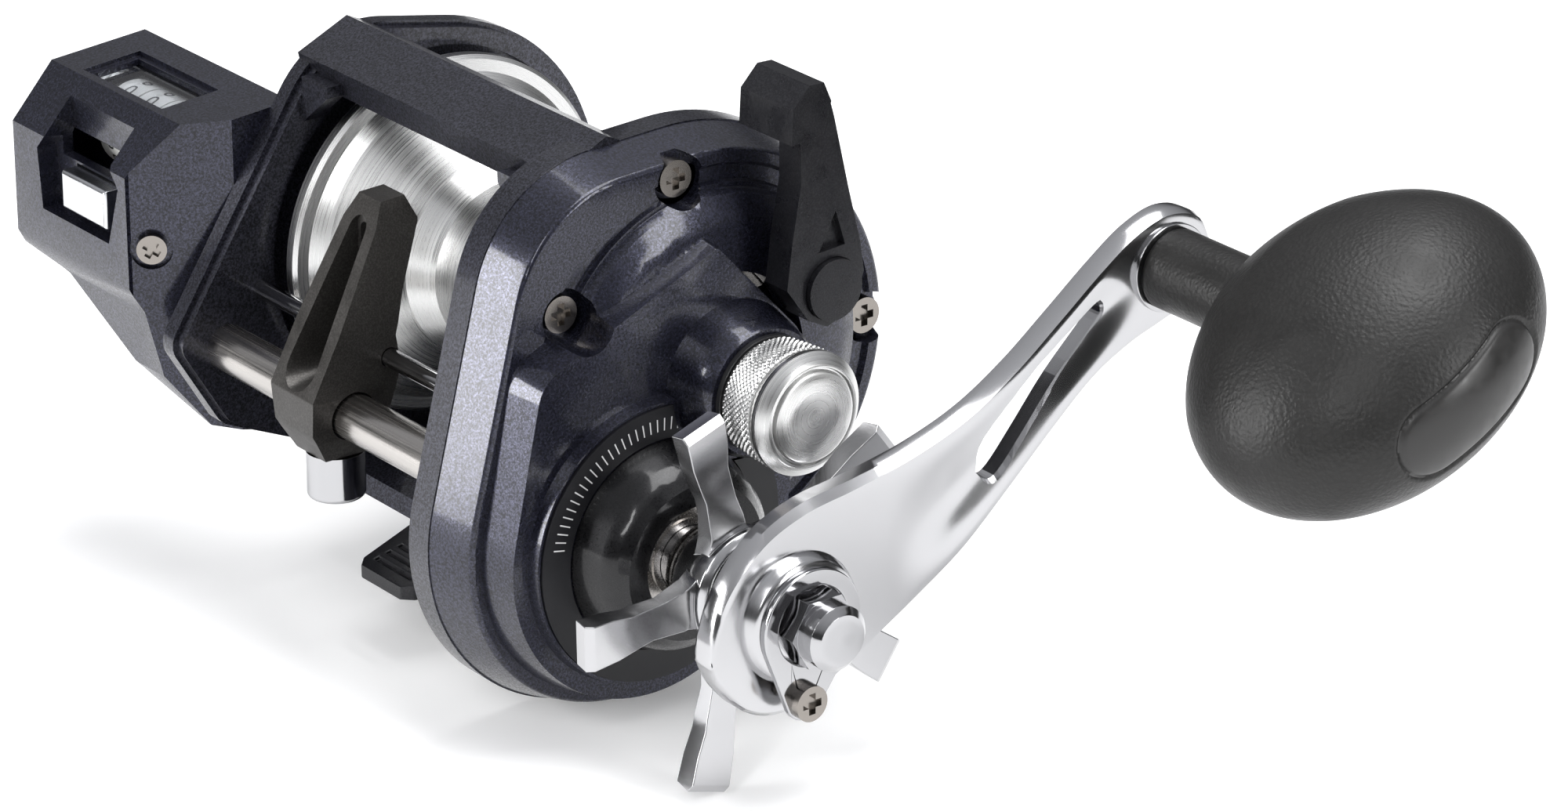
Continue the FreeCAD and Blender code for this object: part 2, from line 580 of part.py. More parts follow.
# ---------------------------------------------------------------- drive shaft and drag
def make_drive():
    keep("drive_shaft", lathe("drive_shaft_body", [
        ("30", "0"), ("30", "4.35"), ("33", "4.35"), ("33", "4"), ("78", "4"), ("78.6", "3.6"),
        ("90.6", "3.6"), ("91.2", "3"), ("91.2", "0")], "drive_y", "drive_z"))
    stack = [ring("drag_washer_1", "37.85", "38.75", "4.3", "18.8", "drive_y", "drive_z"),
             ring("drag_washer_2", "38.85", "39.65", "4.3", "18.4", "drive_y", "drive_z"),
             ring("drag_washer_3", "39.75", "40.65", "4.3", "17", "drive_y", "drive_z")]
    group("drag_washers", stack)
    keep("drag_pressure_plate", lathe("pressure_plate", [
        ("40.75", "4.1"), ("45.4", "4.1"), ("45.4", "6.4"), ("42.4", "7"), ("42.2", "16.4"),
        ("40.75", "16.8")],
        "drive_y", "drive_z"))
    keep("one_way_bearing", make_bearing("roller_clutch", "47", "57.4", "5.3", "9", "drive_y", "drive_z"))
    keep("bearing_sleeve", ring("sleeve", "45.5", "60.6", "4.05", "5.2", "drive_y", "drive_z"))
    washers = [lathe("spring_washer_%d" % i, [
        ("%g" % (60.7 + 0.9 * i), "4.2"), ("%g" % (61.1 + 0.9 * i), "4.2"),
        ("%g" % (61.5 + 0.9 * i), "7"), ("%g" % (61.1 + 0.9 * i), "7")], "drive_y", "drive_z")
        for i in range(2)]
    group("drag_spring_washers", washers)


def make_star():
    """Star drag: a hub with five arms that step outwards over the tension knob to chamfered tips."""
    hub = lathe("star_hub", [("62.8", "4.15"), ("62.8", "6.5"), ("64", "8"), ("70", "9.6"), ("72.4", "9.6"),
                             ("73.4", "8.6"), ("73.4", "4.15")], "drive_y", "drive_z")
    arms = []
    for i in range(5):
        side = prism("star_side_%d" % i, [("67.2", "6"), ("70.4", "6"), ("72.4", "12"), ("73.2", "20"),
                                          ("74.8", "star_reach - 1.2"), ("74", "star_reach"),
                                          ("71", "star_reach - 0.6"), ("69.9", "20"), ("69.9", "15.6")],
                     "-5", "5", "XY_Plane")
        plan = body("star_plan_%d" % i)
        drawn = sketch(plan, offset="60")
        polygon(drawn, [("5", "-5.4"), ("10", "-3.4"), ("16", "-2.7"), ("22", "-2.7"),
                        ("star_reach - 5", "-3.5"), ("star_reach", "-3.9"), ("star_reach", "3.3"),
                        ("star_reach - 6", "3.3"), ("18", "2.5"), ("11", "3.2"), ("5", "5.4")])
        pad(plan, drawn, "20")
        arm = doc.addObject("Part::Common", "star_arm_%d" % i)
        arm.Base = side
        arm.Tool = plan
        arm.Placement = FreeCAD.Placement(V(0, number("drive_y"), number("drive_z")),
                                          FreeCAD.Rotation(V(1, 0, 0), number("star_turn") + 72 * i))
        arms.append(arm)
    joined = fuse("star_joined", hub, *arms)
    keep("star_drag", cut("star_cut", joined, rod("star_bore", "60", "76", "4.15", "drive_y", "drive_z")))
    keep("star_spacer", ring("star_spacer_ring", "73.6", "79.5", "4.1", "8.2", "drive_y", "drive_z"))


# ---------------------------------------------------------------- handle
ARM_LOWER = [(-2.8, -15.3), (3, -14.3), (12, -9.8), (22.6, -3.6), (31.2, 1.9), (39.9, 9.4), (48.6, 17.4),
             (56, 23.4), (63, 27), (69.5, 29)]
ARM_UPPER = [(76.5, 32), (79.2, 38), (76.8, 44.6), (70.5, 47), (63, 44.8), (55, 39.2), (45, 31.6),
             (34.5, 25.2), (22, 20.8), (10, 18.6), (-1, 16.4), (-9, 11.6), (-13.6, 4.4), (-15.4, -4), (-12.6, -9)]
ARM_SLOT = [(34.5, 13.2), (38, 12.4), (43, 17.4), (49.5, 25), (57, 32.2), (58, 34.6), (55.6, 34.4), (45, 27),
            (35.6, 18.4)]


def from_drive(points):
    """Points given from the drive axis, as sizes."""
    return [("drive_y + %g" % y, "drive_z + %g" % z) for y, z in points]


def make_handle():
    """Swept aluminium arm with a tapered slot, its nut, the nut's retainer and retainer screw."""
    owner = body("arm_body")
    drawn = sketch(owner, offset="arm_under")
    polygon(drawn, from_drive(ARM_LOWER + ARM_UPPER))
    pad(owner, drawn, "arm_top - arm_under")
    slot = prism("arm_slot", from_drive(ARM_SLOT), "arm_under - 1", "arm_top + 1")
    boss = rod("arm_boss_round", "arm_top - 1", "arm_boss", "9.6", "drive_y", "drive_z")
    tools = [slot, rod("arm_bore", "arm_under - 1", "arm_boss + 1", "3.65", "drive_y", "drive_z"),
             rod("arm_knob_hole", "arm_under - 1", "arm_top + 1", "3.05", "knob_y", "knob_z"),
             rod("arm_screw_hole", "arm_under + 1", "arm_top + 1", "1.3", "drive_y - 1.5", "drive_z - 11.6"),
             rod("arm_knob_face", "knob_base", "arm_top + 1", "8.6", "knob_y", "knob_z")]
    keep("handle_arm", cut("arm_cut", fuse("arm_joined", owner, boss), *tools))
    hexagon = body("nut_hex")
    drawn = sketch(hexagon, offset="arm_boss")
    polygon(drawn, [("%.4f" % (6.0 * math.cos(math.pi * k / 3)), "%.4f" % (6.0 * math.sin(math.pi * k / 3)))
                    for k in range(6)])
    pad(hexagon, drawn, "4.2")
    place(hexagon, "0", "drive_y", "drive_z")
    dome = lathe("nut_dome", [("arm_boss", "3.65"), ("arm_boss + 3", "5.1"), ("arm_boss + 7.2", "5.1"),
                              ("arm_boss + 8.3", "4"), ("arm_boss + 8.5", "0"), ("arm_boss + 5.6", "0"),
                              ("arm_boss + 5.6", "3.65")], "drive_y", "drive_z")
    nut = fuse("nut_joined", hexagon, dome)
    keep("handle_nut", cut("nut_cut", nut, rod("nut_bore", "arm_boss - 1", "arm_boss + 5.6", "3.65",
                                               "drive_y", "drive_z")))
    plate = body("retainer_body")
    drawn = sketch(plate, offset="arm_boss + 0.1")
    belt(drawn, [("0", "0", "8.8"), ("-1.5", "-11.6", "3.2")])
    circle(drawn, "0", "0", "6.3")
    pad(plate, drawn, "1.3")
    place(plate, "0", "drive_y", "drive_z")
    keep("nut_retainer", cut("retainer_cut", plate, rod("retainer_hole", "arm_top", "arm_boss + 3", "1.4",
                                                        "drive_y - 1.5", "drive_z - 11.6")))
    keep("retainer_screw", screw("retainer_screw_part", "2.8", "1.7", "1.25", "8",
                                 [number(k) for k in ("arm_boss + 3.1", "drive_y - 1.5", "drive_z - 11.6")],
                                 (-1, 0, 0)))


def make_knob():
    """Power grip on a riveted post with two bushes, a steel ferrule and a plain inlay."""
    middle, end = number("grip_middle"), number("grip_middle + grip_depth")
    long_half, short_half, depth = number("grip_long"), number("grip_short"), number("grip_depth")
    keep("knob_post", lathe("knob_post_body", [
        ("arm_under - 1", "0"), ("arm_under - 1", "4.4"), ("arm_under - 0.1", "4.8"), ("arm_under", "3"),
        ("knob_base", "3"), ("knob_base + 0.1", "2.5"), ("118", "2.5"), ("118", "0")], "knob_y", "knob_z"))
    keep("knob_ferrule", lathe("ferrule", [
        ("knob_base + 0.05", "3.1"), ("knob_base + 0.05", "7.2"), ("knob_base + 0.6", "7.2"),
        ("knob_base + 0.8", "6.2"), ("knob_base + 1.4", "6.2"), ("knob_base + 1.6", "7"),
        ("knob_base + 2.6", "7"), ("knob_base + 2.6", "3.1")],
        "knob_y", "knob_z"))
    bushes = [ring("knob_bush_1", "knob_base + 3.2", "knob_base + 8", "2.55", "4.2", "knob_y", "knob_z"),
              ring("knob_bush_2", "111", "116", "2.55", "4.2", "knob_y", "knob_z")]
    group("knob_bushes", bushes)
    keep("knob_end_screw", lathe("end_screw", [
        ("118.1", "0"), ("120", "0"), ("120", "3.6"), ("118.1", "3.6")], "knob_y", "knob_z"))
    sections = [(84.6, 6.3, 6.2), (90, 6.4, 6.3), (96, 7, 6.7), (101, 9.2, 8)]
    for share in (-0.85, -0.7, -0.5, -0.25, 0.0, 0.3, 0.55, 0.75, 0.9, 0.985):
        swell = math.sqrt(1 - share ** 2)
        sections.append((middle + share * depth, long_half * swell, short_half * swell))
    wires = []
    for x, tall, wide in sections:
        wire = Part.Wire([Part.Ellipse(V(0, 0, 0), tall, wide).toShape()])
        wire.Placement = FreeCAD.Placement(V(x, 0, 0), FreeCAD.Rotation(V(0, 1, 0), 90))
        wires.append(wire)
    bulb = Part.makeLoft(wires, True)
    core = Part.makeCylinder(4.2, 36.2, V(84, 0, 0), V(1, 0, 0))
    seat = Part.makeCylinder(7.4, 9, V(end - 2.6, 0, 0), V(1, 0, 0))
    grip = doc.addObject("Part::Feature", "grip_part")
    grip.Shape = bulb.cut(core).cut(seat)
    grip.Placement = FreeCAD.Placement(V(0, number("knob_y"), number("knob_z")),
                                       FreeCAD.Rotation(V(1, 0, 0), 90 + number("grip_turn")))
    keep("knob_grip", grip)
    keep("knob_inlay", lathe("inlay_body", [
        ("grip_middle + grip_depth - 2.6", "0"), ("grip_middle + grip_depth - 0.5", "0"),
        ("grip_middle + grip_depth - 1.3", "7.2"), ("grip_middle + grip_depth - 2.6", "7.2")],
        "knob_y", "knob_z"))


# ---------------------------------------------------------------- tension knob
def make_tension_knob():
    base = "knob_boss_x"
    keep("knob_base_seal", ring("base_seal", base + " + 0.05", base + " + 0.9", "7.25", "9.25",
                                "0", "spool_z"))
    profile = [(1.1, 7.6), (1.1, 9.3), (8.8, 9.7), (9.2, 10.1), (10.4, 10.1), (11, 9.2), (10.6, 7.9), (12.2, 7.6),
               (12.5, 7.1), (12.3, 0), (7.2, 0), (7.2, 7.6)]
    keep("tension_knob", lathe("tension_body", [(base + " + %g" % x, str(radius)) for x, radius in profile],
                               "0", "spool_z"))
    keep("tension_shim", rod("shim", "61.6", base + " + 7", "4.6", "0", "spool_z"))


# ---------------------------------------------------------------- clutch
LEVER_OUTLINE = [(-8.5, 1.5), (-4.5, -4.2), (-0.9, -6), (4.2, -4), (6, 1.4), (5.4, 6.1), (3, 15.6),
                 (0.3, 27.3), (-0.7, 30.8), (-3, 33), (-7.2, 29.5), (-5.9, 23.7), (-5.9, 17.7), (-7.5, 9.1)]
LEVER_TAB = [(-7.9, 24.5), (-7.6, 30.1), (-4.5, 33.3), (-1.8, 33.2), (-0.4, 30), (-2, 25)]


def from_lever(points):
    return [("lever_y + %g" % y, "lever_z + %g" % z) for y, z in points]


def make_clutch():
    """Clutch lever with its thumb tab and cap, the shaft and crank it turns, and the sliding yoke."""
    lever = fuse("lever_joined", prism("lever_arm", from_lever(LEVER_OUTLINE), "lever_x", "lever_x + 5.4"),
                 prism("lever_tab", from_lever(LEVER_TAB), "lever_x - 7.2", "lever_x + 5.6"))
    tools = [rod("lever_axle_hole", "face_x", "lever_x + 12", "2", "lever_y", "lever_z"),
             rod("lever_cap_seat", "lever_x + 4.6", "lever_x + 12", "5", "lever_y", "lever_z"),
             prism("lever_dimple", from_lever([(-2.6, 6.2), (2.4, 6.6), (0.6, 12.4)]),
                   "lever_x + 4.2", "lever_x + 12")]
    keep("clutch_lever", cut("lever_cut", lever, *tools))
    keep("lever_cap", rod("lever_cap_disc", "lever_x + 4.65", "lever_x + 6.4", "4.9", "lever_y", "lever_z"))
    axle = rod("lever_axle", "37.2", "lever_x + 4.5", "1.98", "lever_y", "lever_z")
    crank = body("clutch_crank")
    drawn = sketch(crank, offset="37.2")
    belt(drawn, [("lever_y", "lever_z", "3.4"), ("lever_y - 8", "lever_z - 3", "2")])
    pad(crank, drawn, "2")
    keep("clutch_shaft", fuse("clutch_shaft_fused", axle, crank))
    posts = []
    for i, (y, z) in enumerate(YOKE_POSTS):
        posts.append(rod("yoke_post_%d" % i, "inner_right + 2", "46.6", "1.2", str(y), str(z)))
    group("yoke_posts", posts)
    yoke = body("yoke_body")
    drawn = sketch(yoke, offset="42")
    (y1, z1), (y2, z2) = YOKE_POSTS
    belt(drawn, [(str(y1), str(z1), "2.3"), ("0", "spool_z", "6.2"), (str(y2), str(z2), "2.3"),
                 ("0", "spool_z", "6.2")])
    circle(drawn, "0", "spool_z", "3.7")
    circle(drawn, str(y1), str(z1), "1.35")
    circle(drawn, str(y2), str(z2), "1.35")
    pad(yoke, drawn, "1.5")
    keep("clutch_yoke", yoke)


# ---------------------------------------------------------------- levelwind
def make_levelwind():
    tube = ring("tube_wall", "inner_left - 1.5", "inner_right + 3", "tube_bore", "tube", "worm_y", "worm_z")
    slot = block("tube_slot", ("inner_left + 4", "worm_y - 1.4", "worm_z - 5"),
                 ("inner_right - 4", "worm_y + 1.4", "worm_z"))
    keep("levelwind_tube", cut("tube_cut", tube, slot))
    core = lathe("worm_core", [
        ("inner_left - 1.2", "0"), ("inner_left - 1.2", "1.4"), ("inner_left + 1", "1.4"),
        ("inner_left + 1", "worm"), ("inner_right - 1", "worm"), ("inner_right - 1", "1.9"), ("34", "1.9"),
        ("34", "1.5"), ("36.4", "1.5"), ("36.4", "0")], "worm_y", "worm_z")
    grooves = []
    for hand in (1, -1):
        for i in range(9):
            groove = doc.addObject("Part::Torus", "worm_groove")
            bind(groove, "Radius1", "worm + 0.2")
            bind(groove, "Radius2", "0.75")
            spot = V(-21.5 + 5.4 * i, number("worm_y"), number("worm_z"))
            groove.Placement = FreeCAD.Placement(spot, FreeCAD.Rotation(V(0, 1, 0), 90 + hand * 22))
            grooves.append(groove)
    keep("worm_shaft", cut("worm_cut", core, *grooves))
    group("worm_bushes", [ring("worm_bush_left", "inner_left - 1.2", "inner_left + 0.6", "1.45", "3.05",
                               "worm_y", "worm_z"),
                          ring("worm_bush_right", "inner_right - 0.6", "inner_right + 2.8", "1.95", "3.05",
                               "worm_y", "worm_z")])
    keep("guide_bar", rod("guide_bar_rod", "inner_left - 3", "inner_right + 3", "bar_radius",
                          "bar_y", "bar_z"))


GUIDE_X = -1.0


def upright_rod(name, start, end, radius):
    """A pin or bore along Z through the line guide."""
    made = doc.addObject("Part::Cylinder", name)
    bind(made, "Radius", radius)
    bind(made, "Height", "(%s) - (%s)" % (end, start))
    place(made, str(GUIDE_X), "worm_y", start)
    return made


def make_line_guide():
    """Line guide: a faceted body leaning back over the spool, with a slot that funnels to a slit."""
    side = prism("guide_side", [
        ("-31.4", "64.8"), ("-27", "65"), ("-25.6", "61.4"), ("-29.4", "51"), ("-31.2", "44"), ("-30.4", "39"),
        ("-32.4", "32"), ("-33.6", "25.4"), ("-43.4", "25.4"), ("-46.4", "30.6"), ("-46.6", "36.4"),
        ("-42.6", "44")], str(GUIDE_X - 5.8), str(GUIDE_X + 5.8))
    front = body("guide_front")
    drawn = sketch(front, "XZ_Plane", "20")
    half = [(2.4, 66), (4.4, 61), (5.8, 46), (5.8, 36), (5, 29), (3.6, 24)]
    outline = half + [(-u, v) for u, v in reversed(half)]
    polygon(drawn, [("%g" % (GUIDE_X + u), "%g" % v) for u, v in outline])
    pad(front, drawn, "30")
    shaped = doc.addObject("Part::Common", "guide_shaped")
    shaped.Base = side
    shaped.Tool = front
    slot = body("guide_slot")
    drawn = sketch(slot, "XZ_Plane", "20")
    middle = str(GUIDE_X)
    belt(drawn, [(middle, "46", "1.5"), (middle, "59.6", "1.3")])
    pad(slot, drawn, "30")
    drawn = sketch(slot, "XZ_Plane", "32.4")
    belt(drawn, [(middle, "40.6", "2.2"), (middle, "60.2", "1.9")])
    pad(slot, drawn, "20", taper=7)
    left, right = str(GUIDE_X - 8), str(GUIDE_X + 8)
    tools = [slot, rod("guide_tube_bore", left, right, "tube + gap", "worm_y", "worm_z"),
             rod("guide_bar_bore", left, right, "bar_radius + 0.1", "bar_y", "bar_z"),
             upright_rod("pawl_hole", "20", "40", "1.5")]
    keep("line_guide", cut("guide_cut", shaped, *tools))
    keep("guide_pawl", upright_rod("pawl_pin", "19", "worm_z - 3.5", "1.2"))
    shell = upright_rod("pawl_cap_body", "17.6", "25.2", "4.6")
    rounded = doc.addObject("Part::Fillet", "pawl_cap_round")
    rounded.Base = shell
    doc.recompute()
    rounded.Edges = [(i, 0.8, 0.8) for i, e in enumerate(shell.Shape.Edges, 1)
                     if e.Closed and e.BoundBox.ZMax < number("17.7")]
    keep("pawl_cap", cut("pawl_cap_cut", rounded, upright_rod("pawl_cap_inner", "18.9", "26", "1.25")))


# ---------------------------------------------------------------- line counter
HOUSING_SIDE = [("-23", "68.6"), ("-40.6", "67.2"), ("-48.3", "58.6"), ("-48.3", "40"), ("-46.2", "36"),
                ("-44", "25"), ("-38", "16.4"), ("-26", "13.6"), ("-21", "30"), ("-18.5", "48"), ("-19.5", "63")]
HOUSING_HOLLOW = [("-24.4", "66.2"), ("-39.6", "65"), ("-43", "58.2"), ("-43", "41.6"), ("-43.6", "37"),
                  ("-41.4", "26.4"), ("-36.6", "19"), ("-27.4", "16.4"), ("-23.4", "31"), ("-20.9", "48"),
                  ("-21.8", "62")]
HOUSING_UNDER = [("-90", "40"), ("-78", "37.6"), ("-66", "35.6"), ("-50", "24.6"), ("-34", "13"),
                 ("-34", "0"), ("-90", "0")]
HOLLOW_UNDER = [("-90", "42.4"), ("-78", "40"), ("-65", "38"), ("-48.6", "26.8"), ("-34", "16.4"),
                ("-34", "0"), ("-90", "0")]
FLANK = [("-44.4", "-60"), ("-44.4", "-47.6"), ("-34", "-31.6"), ("-20", "-31.6"), ("-20", "-60")]
HOLLOW_FLANK = [("-47.2", "-60"), ("-47.2", "-46.4"), ("-37.6", "-31"), ("-35.8", "-24"), ("-20", "-24"),
                ("-20", "-60")]



def make_counter_housing():
    """Counter housing: a flat-topped shell with a sloping underside, its window, wheels and button."""
    outer = prism("housing_outer", HOUSING_SIDE, "-78", "inner_left - plate_left")
    hollow = prism("housing_hollow", HOUSING_HOLLOW, "-75.8", "-30")
    cavity = cut("housing_cavity", hollow,
                 prism("hollow_flank", HOLLOW_FLANK, "0", "100", "XY_Plane"),
                 prism("hollow_under", HOLLOW_UNDER, "0", "60", "XZ_Plane"))
    seat = doc.addObject("Part::Cylinder", "flank_screw_seat")
    bind(seat, "Radius", "3.4")
    bind(seat, "Height", "6.45")
    inward = V(*FLANK_INWARD)
    hole = doc.addObject("Part::Cylinder", "flank_screw_hole")
    bind(hole, "Radius", "1.25")
    bind(hole, "Height", "12")
    turn = FreeCAD.Rotation(V(0, 0, 1), inward)
    seat.Placement = FreeCAD.Placement(V(*FLANK_SCREW) - inward * 5, turn)
    hole.Placement = FreeCAD.Placement(V(*FLANK_SCREW) - inward * 3, turn)
    window = prism("housing_window", [("-38.2", "60"), ("-29.6", "60"), ("-29.6", "75"), ("-38.2", "75")],
                   "-69.4", "-48.6")
    sill = prism("housing_sill", [("-39.2", "66.6"), ("-28.6", "67.4"), ("-28.6", "75"), ("-39.2", "75")],
                 "-70.6", "-47.4")
    scoop = body("housing_scoop")
    drawn = sketch(scoop, "XZ_Plane", "44.9")
    polygon(drawn, [("-69.4", "46.4"), ("-50.2", "46.4"), ("-47", "56"), ("-50", "59.6"), ("-67", "59.6"),
                    ("-70.4", "56")])
    pad(scoop, drawn, "10", taper=6)
    upper = prism("housing_scoop_top", [("-50", "55"), ("-43", "55"), ("-42.4", "61.4"), ("-43.6", "66.4"),
                                        ("-50", "66.4")], "-68.4", "-49.4")
    tools = [cavity, prism("flank", FLANK, "0", "100", "XY_Plane"),
             prism("under", HOUSING_UNDER, "0", "60", "XZ_Plane"), window, sill, scoop, upper,
             rod("housing_round", "-46.2", "-30", "31.8", "0", "spool_z"),
             rod("housing_idler_room", "-40.2", "-30", "14.9", str(COUNTER_IDLER[0]), str(COUNTER_IDLER[1])),
             rod("housing_gear_room", "-40.2", "-37.4", "5", "counter_y", "counter_z"),
             block("button_hole", ("-64.3", "-50", "47.6"), ("-50.7", "-38", "54.6")),
             rod("housing_axle_hole", "-77", "-74", "1.25", "counter_y", "counter_z")]
    backing = cut("housing_boss", rod("flank_boss", "-48", "-41", "3.6", "-43.4", "46.6"),
                  prism("boss_flank", FLANK, "0", "100", "XY_Plane"))
    joined = fuse("housing_joined", cut("housing_cut", outer, *tools), backing)
    keep("counter_housing", cut("housing_drilled", joined, seat, hole))
    keep("counter_window", prism("window_pane", [("-38.1", "64.3"), ("-38.1", "65.7"), ("-29.7", "66.4"),
                                                 ("-29.7", "65")], "-69.3", "-48.7"))
    keep("counter_axle", rod("axle_rod", "-76.8", "-37.6", "1.2", "counter_y", "counter_z"))
    for i, name in enumerate(("hundreds", "tens", "units")):
        start = -49.6 - 6.4 * i
        keep("digit_wheel_" + name, ring("wheel_" + name, "%g" % (start - 6), "%g" % start, "1.3", "6.6",
                                         "counter_y", "counter_z"))
    button = block("button_block", ("-64", "-48.2", "47.9"), ("-51", "-42.4", "54.3"))
    rounded = doc.addObject("Part::Fillet", "button_round")
    rounded.Base = button
    doc.recompute()
    rounded.Edges = [(i, 0.7, 0.7) for i, e in enumerate(button.Shape.Edges, 1) if e.BoundBox.YMax < -48.1]
    keep("reset_button", rounded)


def make_counter_gears():
    module = number("counter_module")
    first, idler, last = [int(number(k + "_teeth")) for k in ("spool_counter", "counter_idler", "counter_gear")]
    towards = heading(SPOOL_AXIS, COUNTER_IDLER)
    keep("spool_counter_gear", gear("spool_counter", module, first, -39.4, -37.9, 2.1, SPOOL_AXIS, towards))
    phase = meshing(towards, first, towards, idler)
    keep("counter_idler_gear", gear("counter_idler", module, idler, -39.4, -37.9, 1.25, COUNTER_IDLER, phase))
    onward = heading(COUNTER_IDLER, COUNTER_AXIS)
    phase = meshing(phase, idler, onward, last)
    keep("counter_input_gear", gear("counter_input", module, last, -39.4, -37.9, 1.2, COUNTER_AXIS, phase))
    group("idler_pins", [rod("counter_pin", "-40", "inner_left - 2.9", "1.2",
                             str(COUNTER_IDLER[0]), str(COUNTER_IDLER[1])),
                         rod("lw_pin", "inner_right + 2", "36.6", "1.2", str(LW_IDLER[0]), str(LW_IDLER[1]))])


def make_counter_side_cover():
    """Dished left cover: a centre boss carries the spool bearing, three posts take its screws."""
    start = "inner_left - plate_left"
    shell = lathe("side_cover_shell", [
        (start, "31.4"), ("-38", "31.4"), ("-41.5", "29.6"), ("-44.5", "25.6"), ("-46", "18"), ("-46", "0"),
        ("-43.7", "0"), ("-43.7", "5"), ("-40.2", "5"), ("-40.2", "7.2"), ("-43.9", "7.2"), ("-43.9", "17"),
        ("-42.4", "23.8"), ("-40", "27.6"), ("-37.6", "29.3"), (start, "29.3")], "0", "spool_z")
    posts = []
    tools = [rod("cover_idler_room", "-40.2", "-30", "14.9", str(COUNTER_IDLER[0]), str(COUNTER_IDLER[1])),
             rod("cover_gear_room", "-40.2", "-30", "5", "counter_y", "counter_z")]
    for i, (y, z) in enumerate(LEFT_SCREWS):
        posts.append(rod("cover_post_left_%d" % i, "-44.2", start, "2.6", str(y), str(z)))
        tools.append(rod("cover_head_left_%d" % i, "-50", "-42.55", "2.7", str(y), str(z)))
        tools.append(rod("cover_hole_left_%d" % i, "-50", "-34", "1.35", str(y), str(z)))
    keep("counter_side_cover", cut("side_cover_cut", fuse("side_cover_posted", shell, *posts), *tools))


make_frame()
make_foot()
make_frame_screws()
make_gear_side_cover()
make_spool()
make_drive_gears()
make_levelwind_gears()
make_drive()
make_star()
make_handle()
make_knob()
make_tension_knob()
make_clutch()
make_levelwind()
make_line_guide()
make_counter_housing()
make_counter_gears()
make_counter_side_cover()
doc.recompute()

for thing in doc.Objects:
    if "Invalid" in thing.State or "Error" in thing.State:
        raise RuntimeError("%s failed: %s" % (thing.Name, thing.State))
for label, thing in pieces.items():
    if thing.Shape.isNull() or not thing.Shape.isValid():
        raise RuntimeError(label + " has no valid shape")

os.makedirs("parts", exist_ok=True)
for label, thing in pieces.items():
    thing.Shape.exportStep("parts/%s.step" % label)
print(len(pieces), "sub-parts written")
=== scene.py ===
import bmesh
import json
import math

import bpy
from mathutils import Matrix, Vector


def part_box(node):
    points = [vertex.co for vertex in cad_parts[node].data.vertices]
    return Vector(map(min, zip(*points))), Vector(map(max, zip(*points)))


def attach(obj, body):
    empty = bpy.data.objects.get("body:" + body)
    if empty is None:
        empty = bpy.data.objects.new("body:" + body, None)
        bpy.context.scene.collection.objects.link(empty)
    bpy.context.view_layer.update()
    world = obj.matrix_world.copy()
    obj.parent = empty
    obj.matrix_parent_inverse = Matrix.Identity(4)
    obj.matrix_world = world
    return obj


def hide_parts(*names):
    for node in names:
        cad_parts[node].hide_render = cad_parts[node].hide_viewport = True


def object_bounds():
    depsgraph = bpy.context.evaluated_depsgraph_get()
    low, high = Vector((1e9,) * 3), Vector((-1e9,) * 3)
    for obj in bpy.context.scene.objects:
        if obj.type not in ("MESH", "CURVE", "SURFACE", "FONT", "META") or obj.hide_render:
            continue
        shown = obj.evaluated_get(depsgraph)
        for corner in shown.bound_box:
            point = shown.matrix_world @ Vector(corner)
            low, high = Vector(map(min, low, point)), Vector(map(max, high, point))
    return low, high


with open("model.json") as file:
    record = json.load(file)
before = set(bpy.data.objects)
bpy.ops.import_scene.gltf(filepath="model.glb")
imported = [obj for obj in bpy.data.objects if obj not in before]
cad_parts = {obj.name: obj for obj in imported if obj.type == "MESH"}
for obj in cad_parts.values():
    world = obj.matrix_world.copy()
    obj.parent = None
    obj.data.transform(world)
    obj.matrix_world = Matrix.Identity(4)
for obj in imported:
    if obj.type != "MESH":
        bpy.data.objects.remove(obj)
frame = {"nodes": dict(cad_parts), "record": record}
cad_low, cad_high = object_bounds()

# A trolling reel, in metres: +X to the handle side, -Y to the line guide, +Z away from the rod.

MM = 0.001

# The drive boss has a plain black cone in its middle, and round it a scale of ticks on a ring, which
# runs between two turns in radians.
CONE_START = 49.4 * MM
CONE_RADIUS = 16.7 * MM
SCALE_INNER = 18.3 * MM
SCALE_OUTER = 20.3 * MM
SCALE_FROM = 1.35
SCALE_TO = 2.95
TICKS_PER_RADIAN = 15.0
TICK_SHARE = 0.16


# ---------------------------------------------------------------- places read from the frame
def middle(node):
    low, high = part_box(node)
    return (low + high) / 2


DRIVE = middle("drive_shaft")
SPOOL = middle("spool")
KNOB = middle("knob_post")
COUNTER = middle("counter_axle")


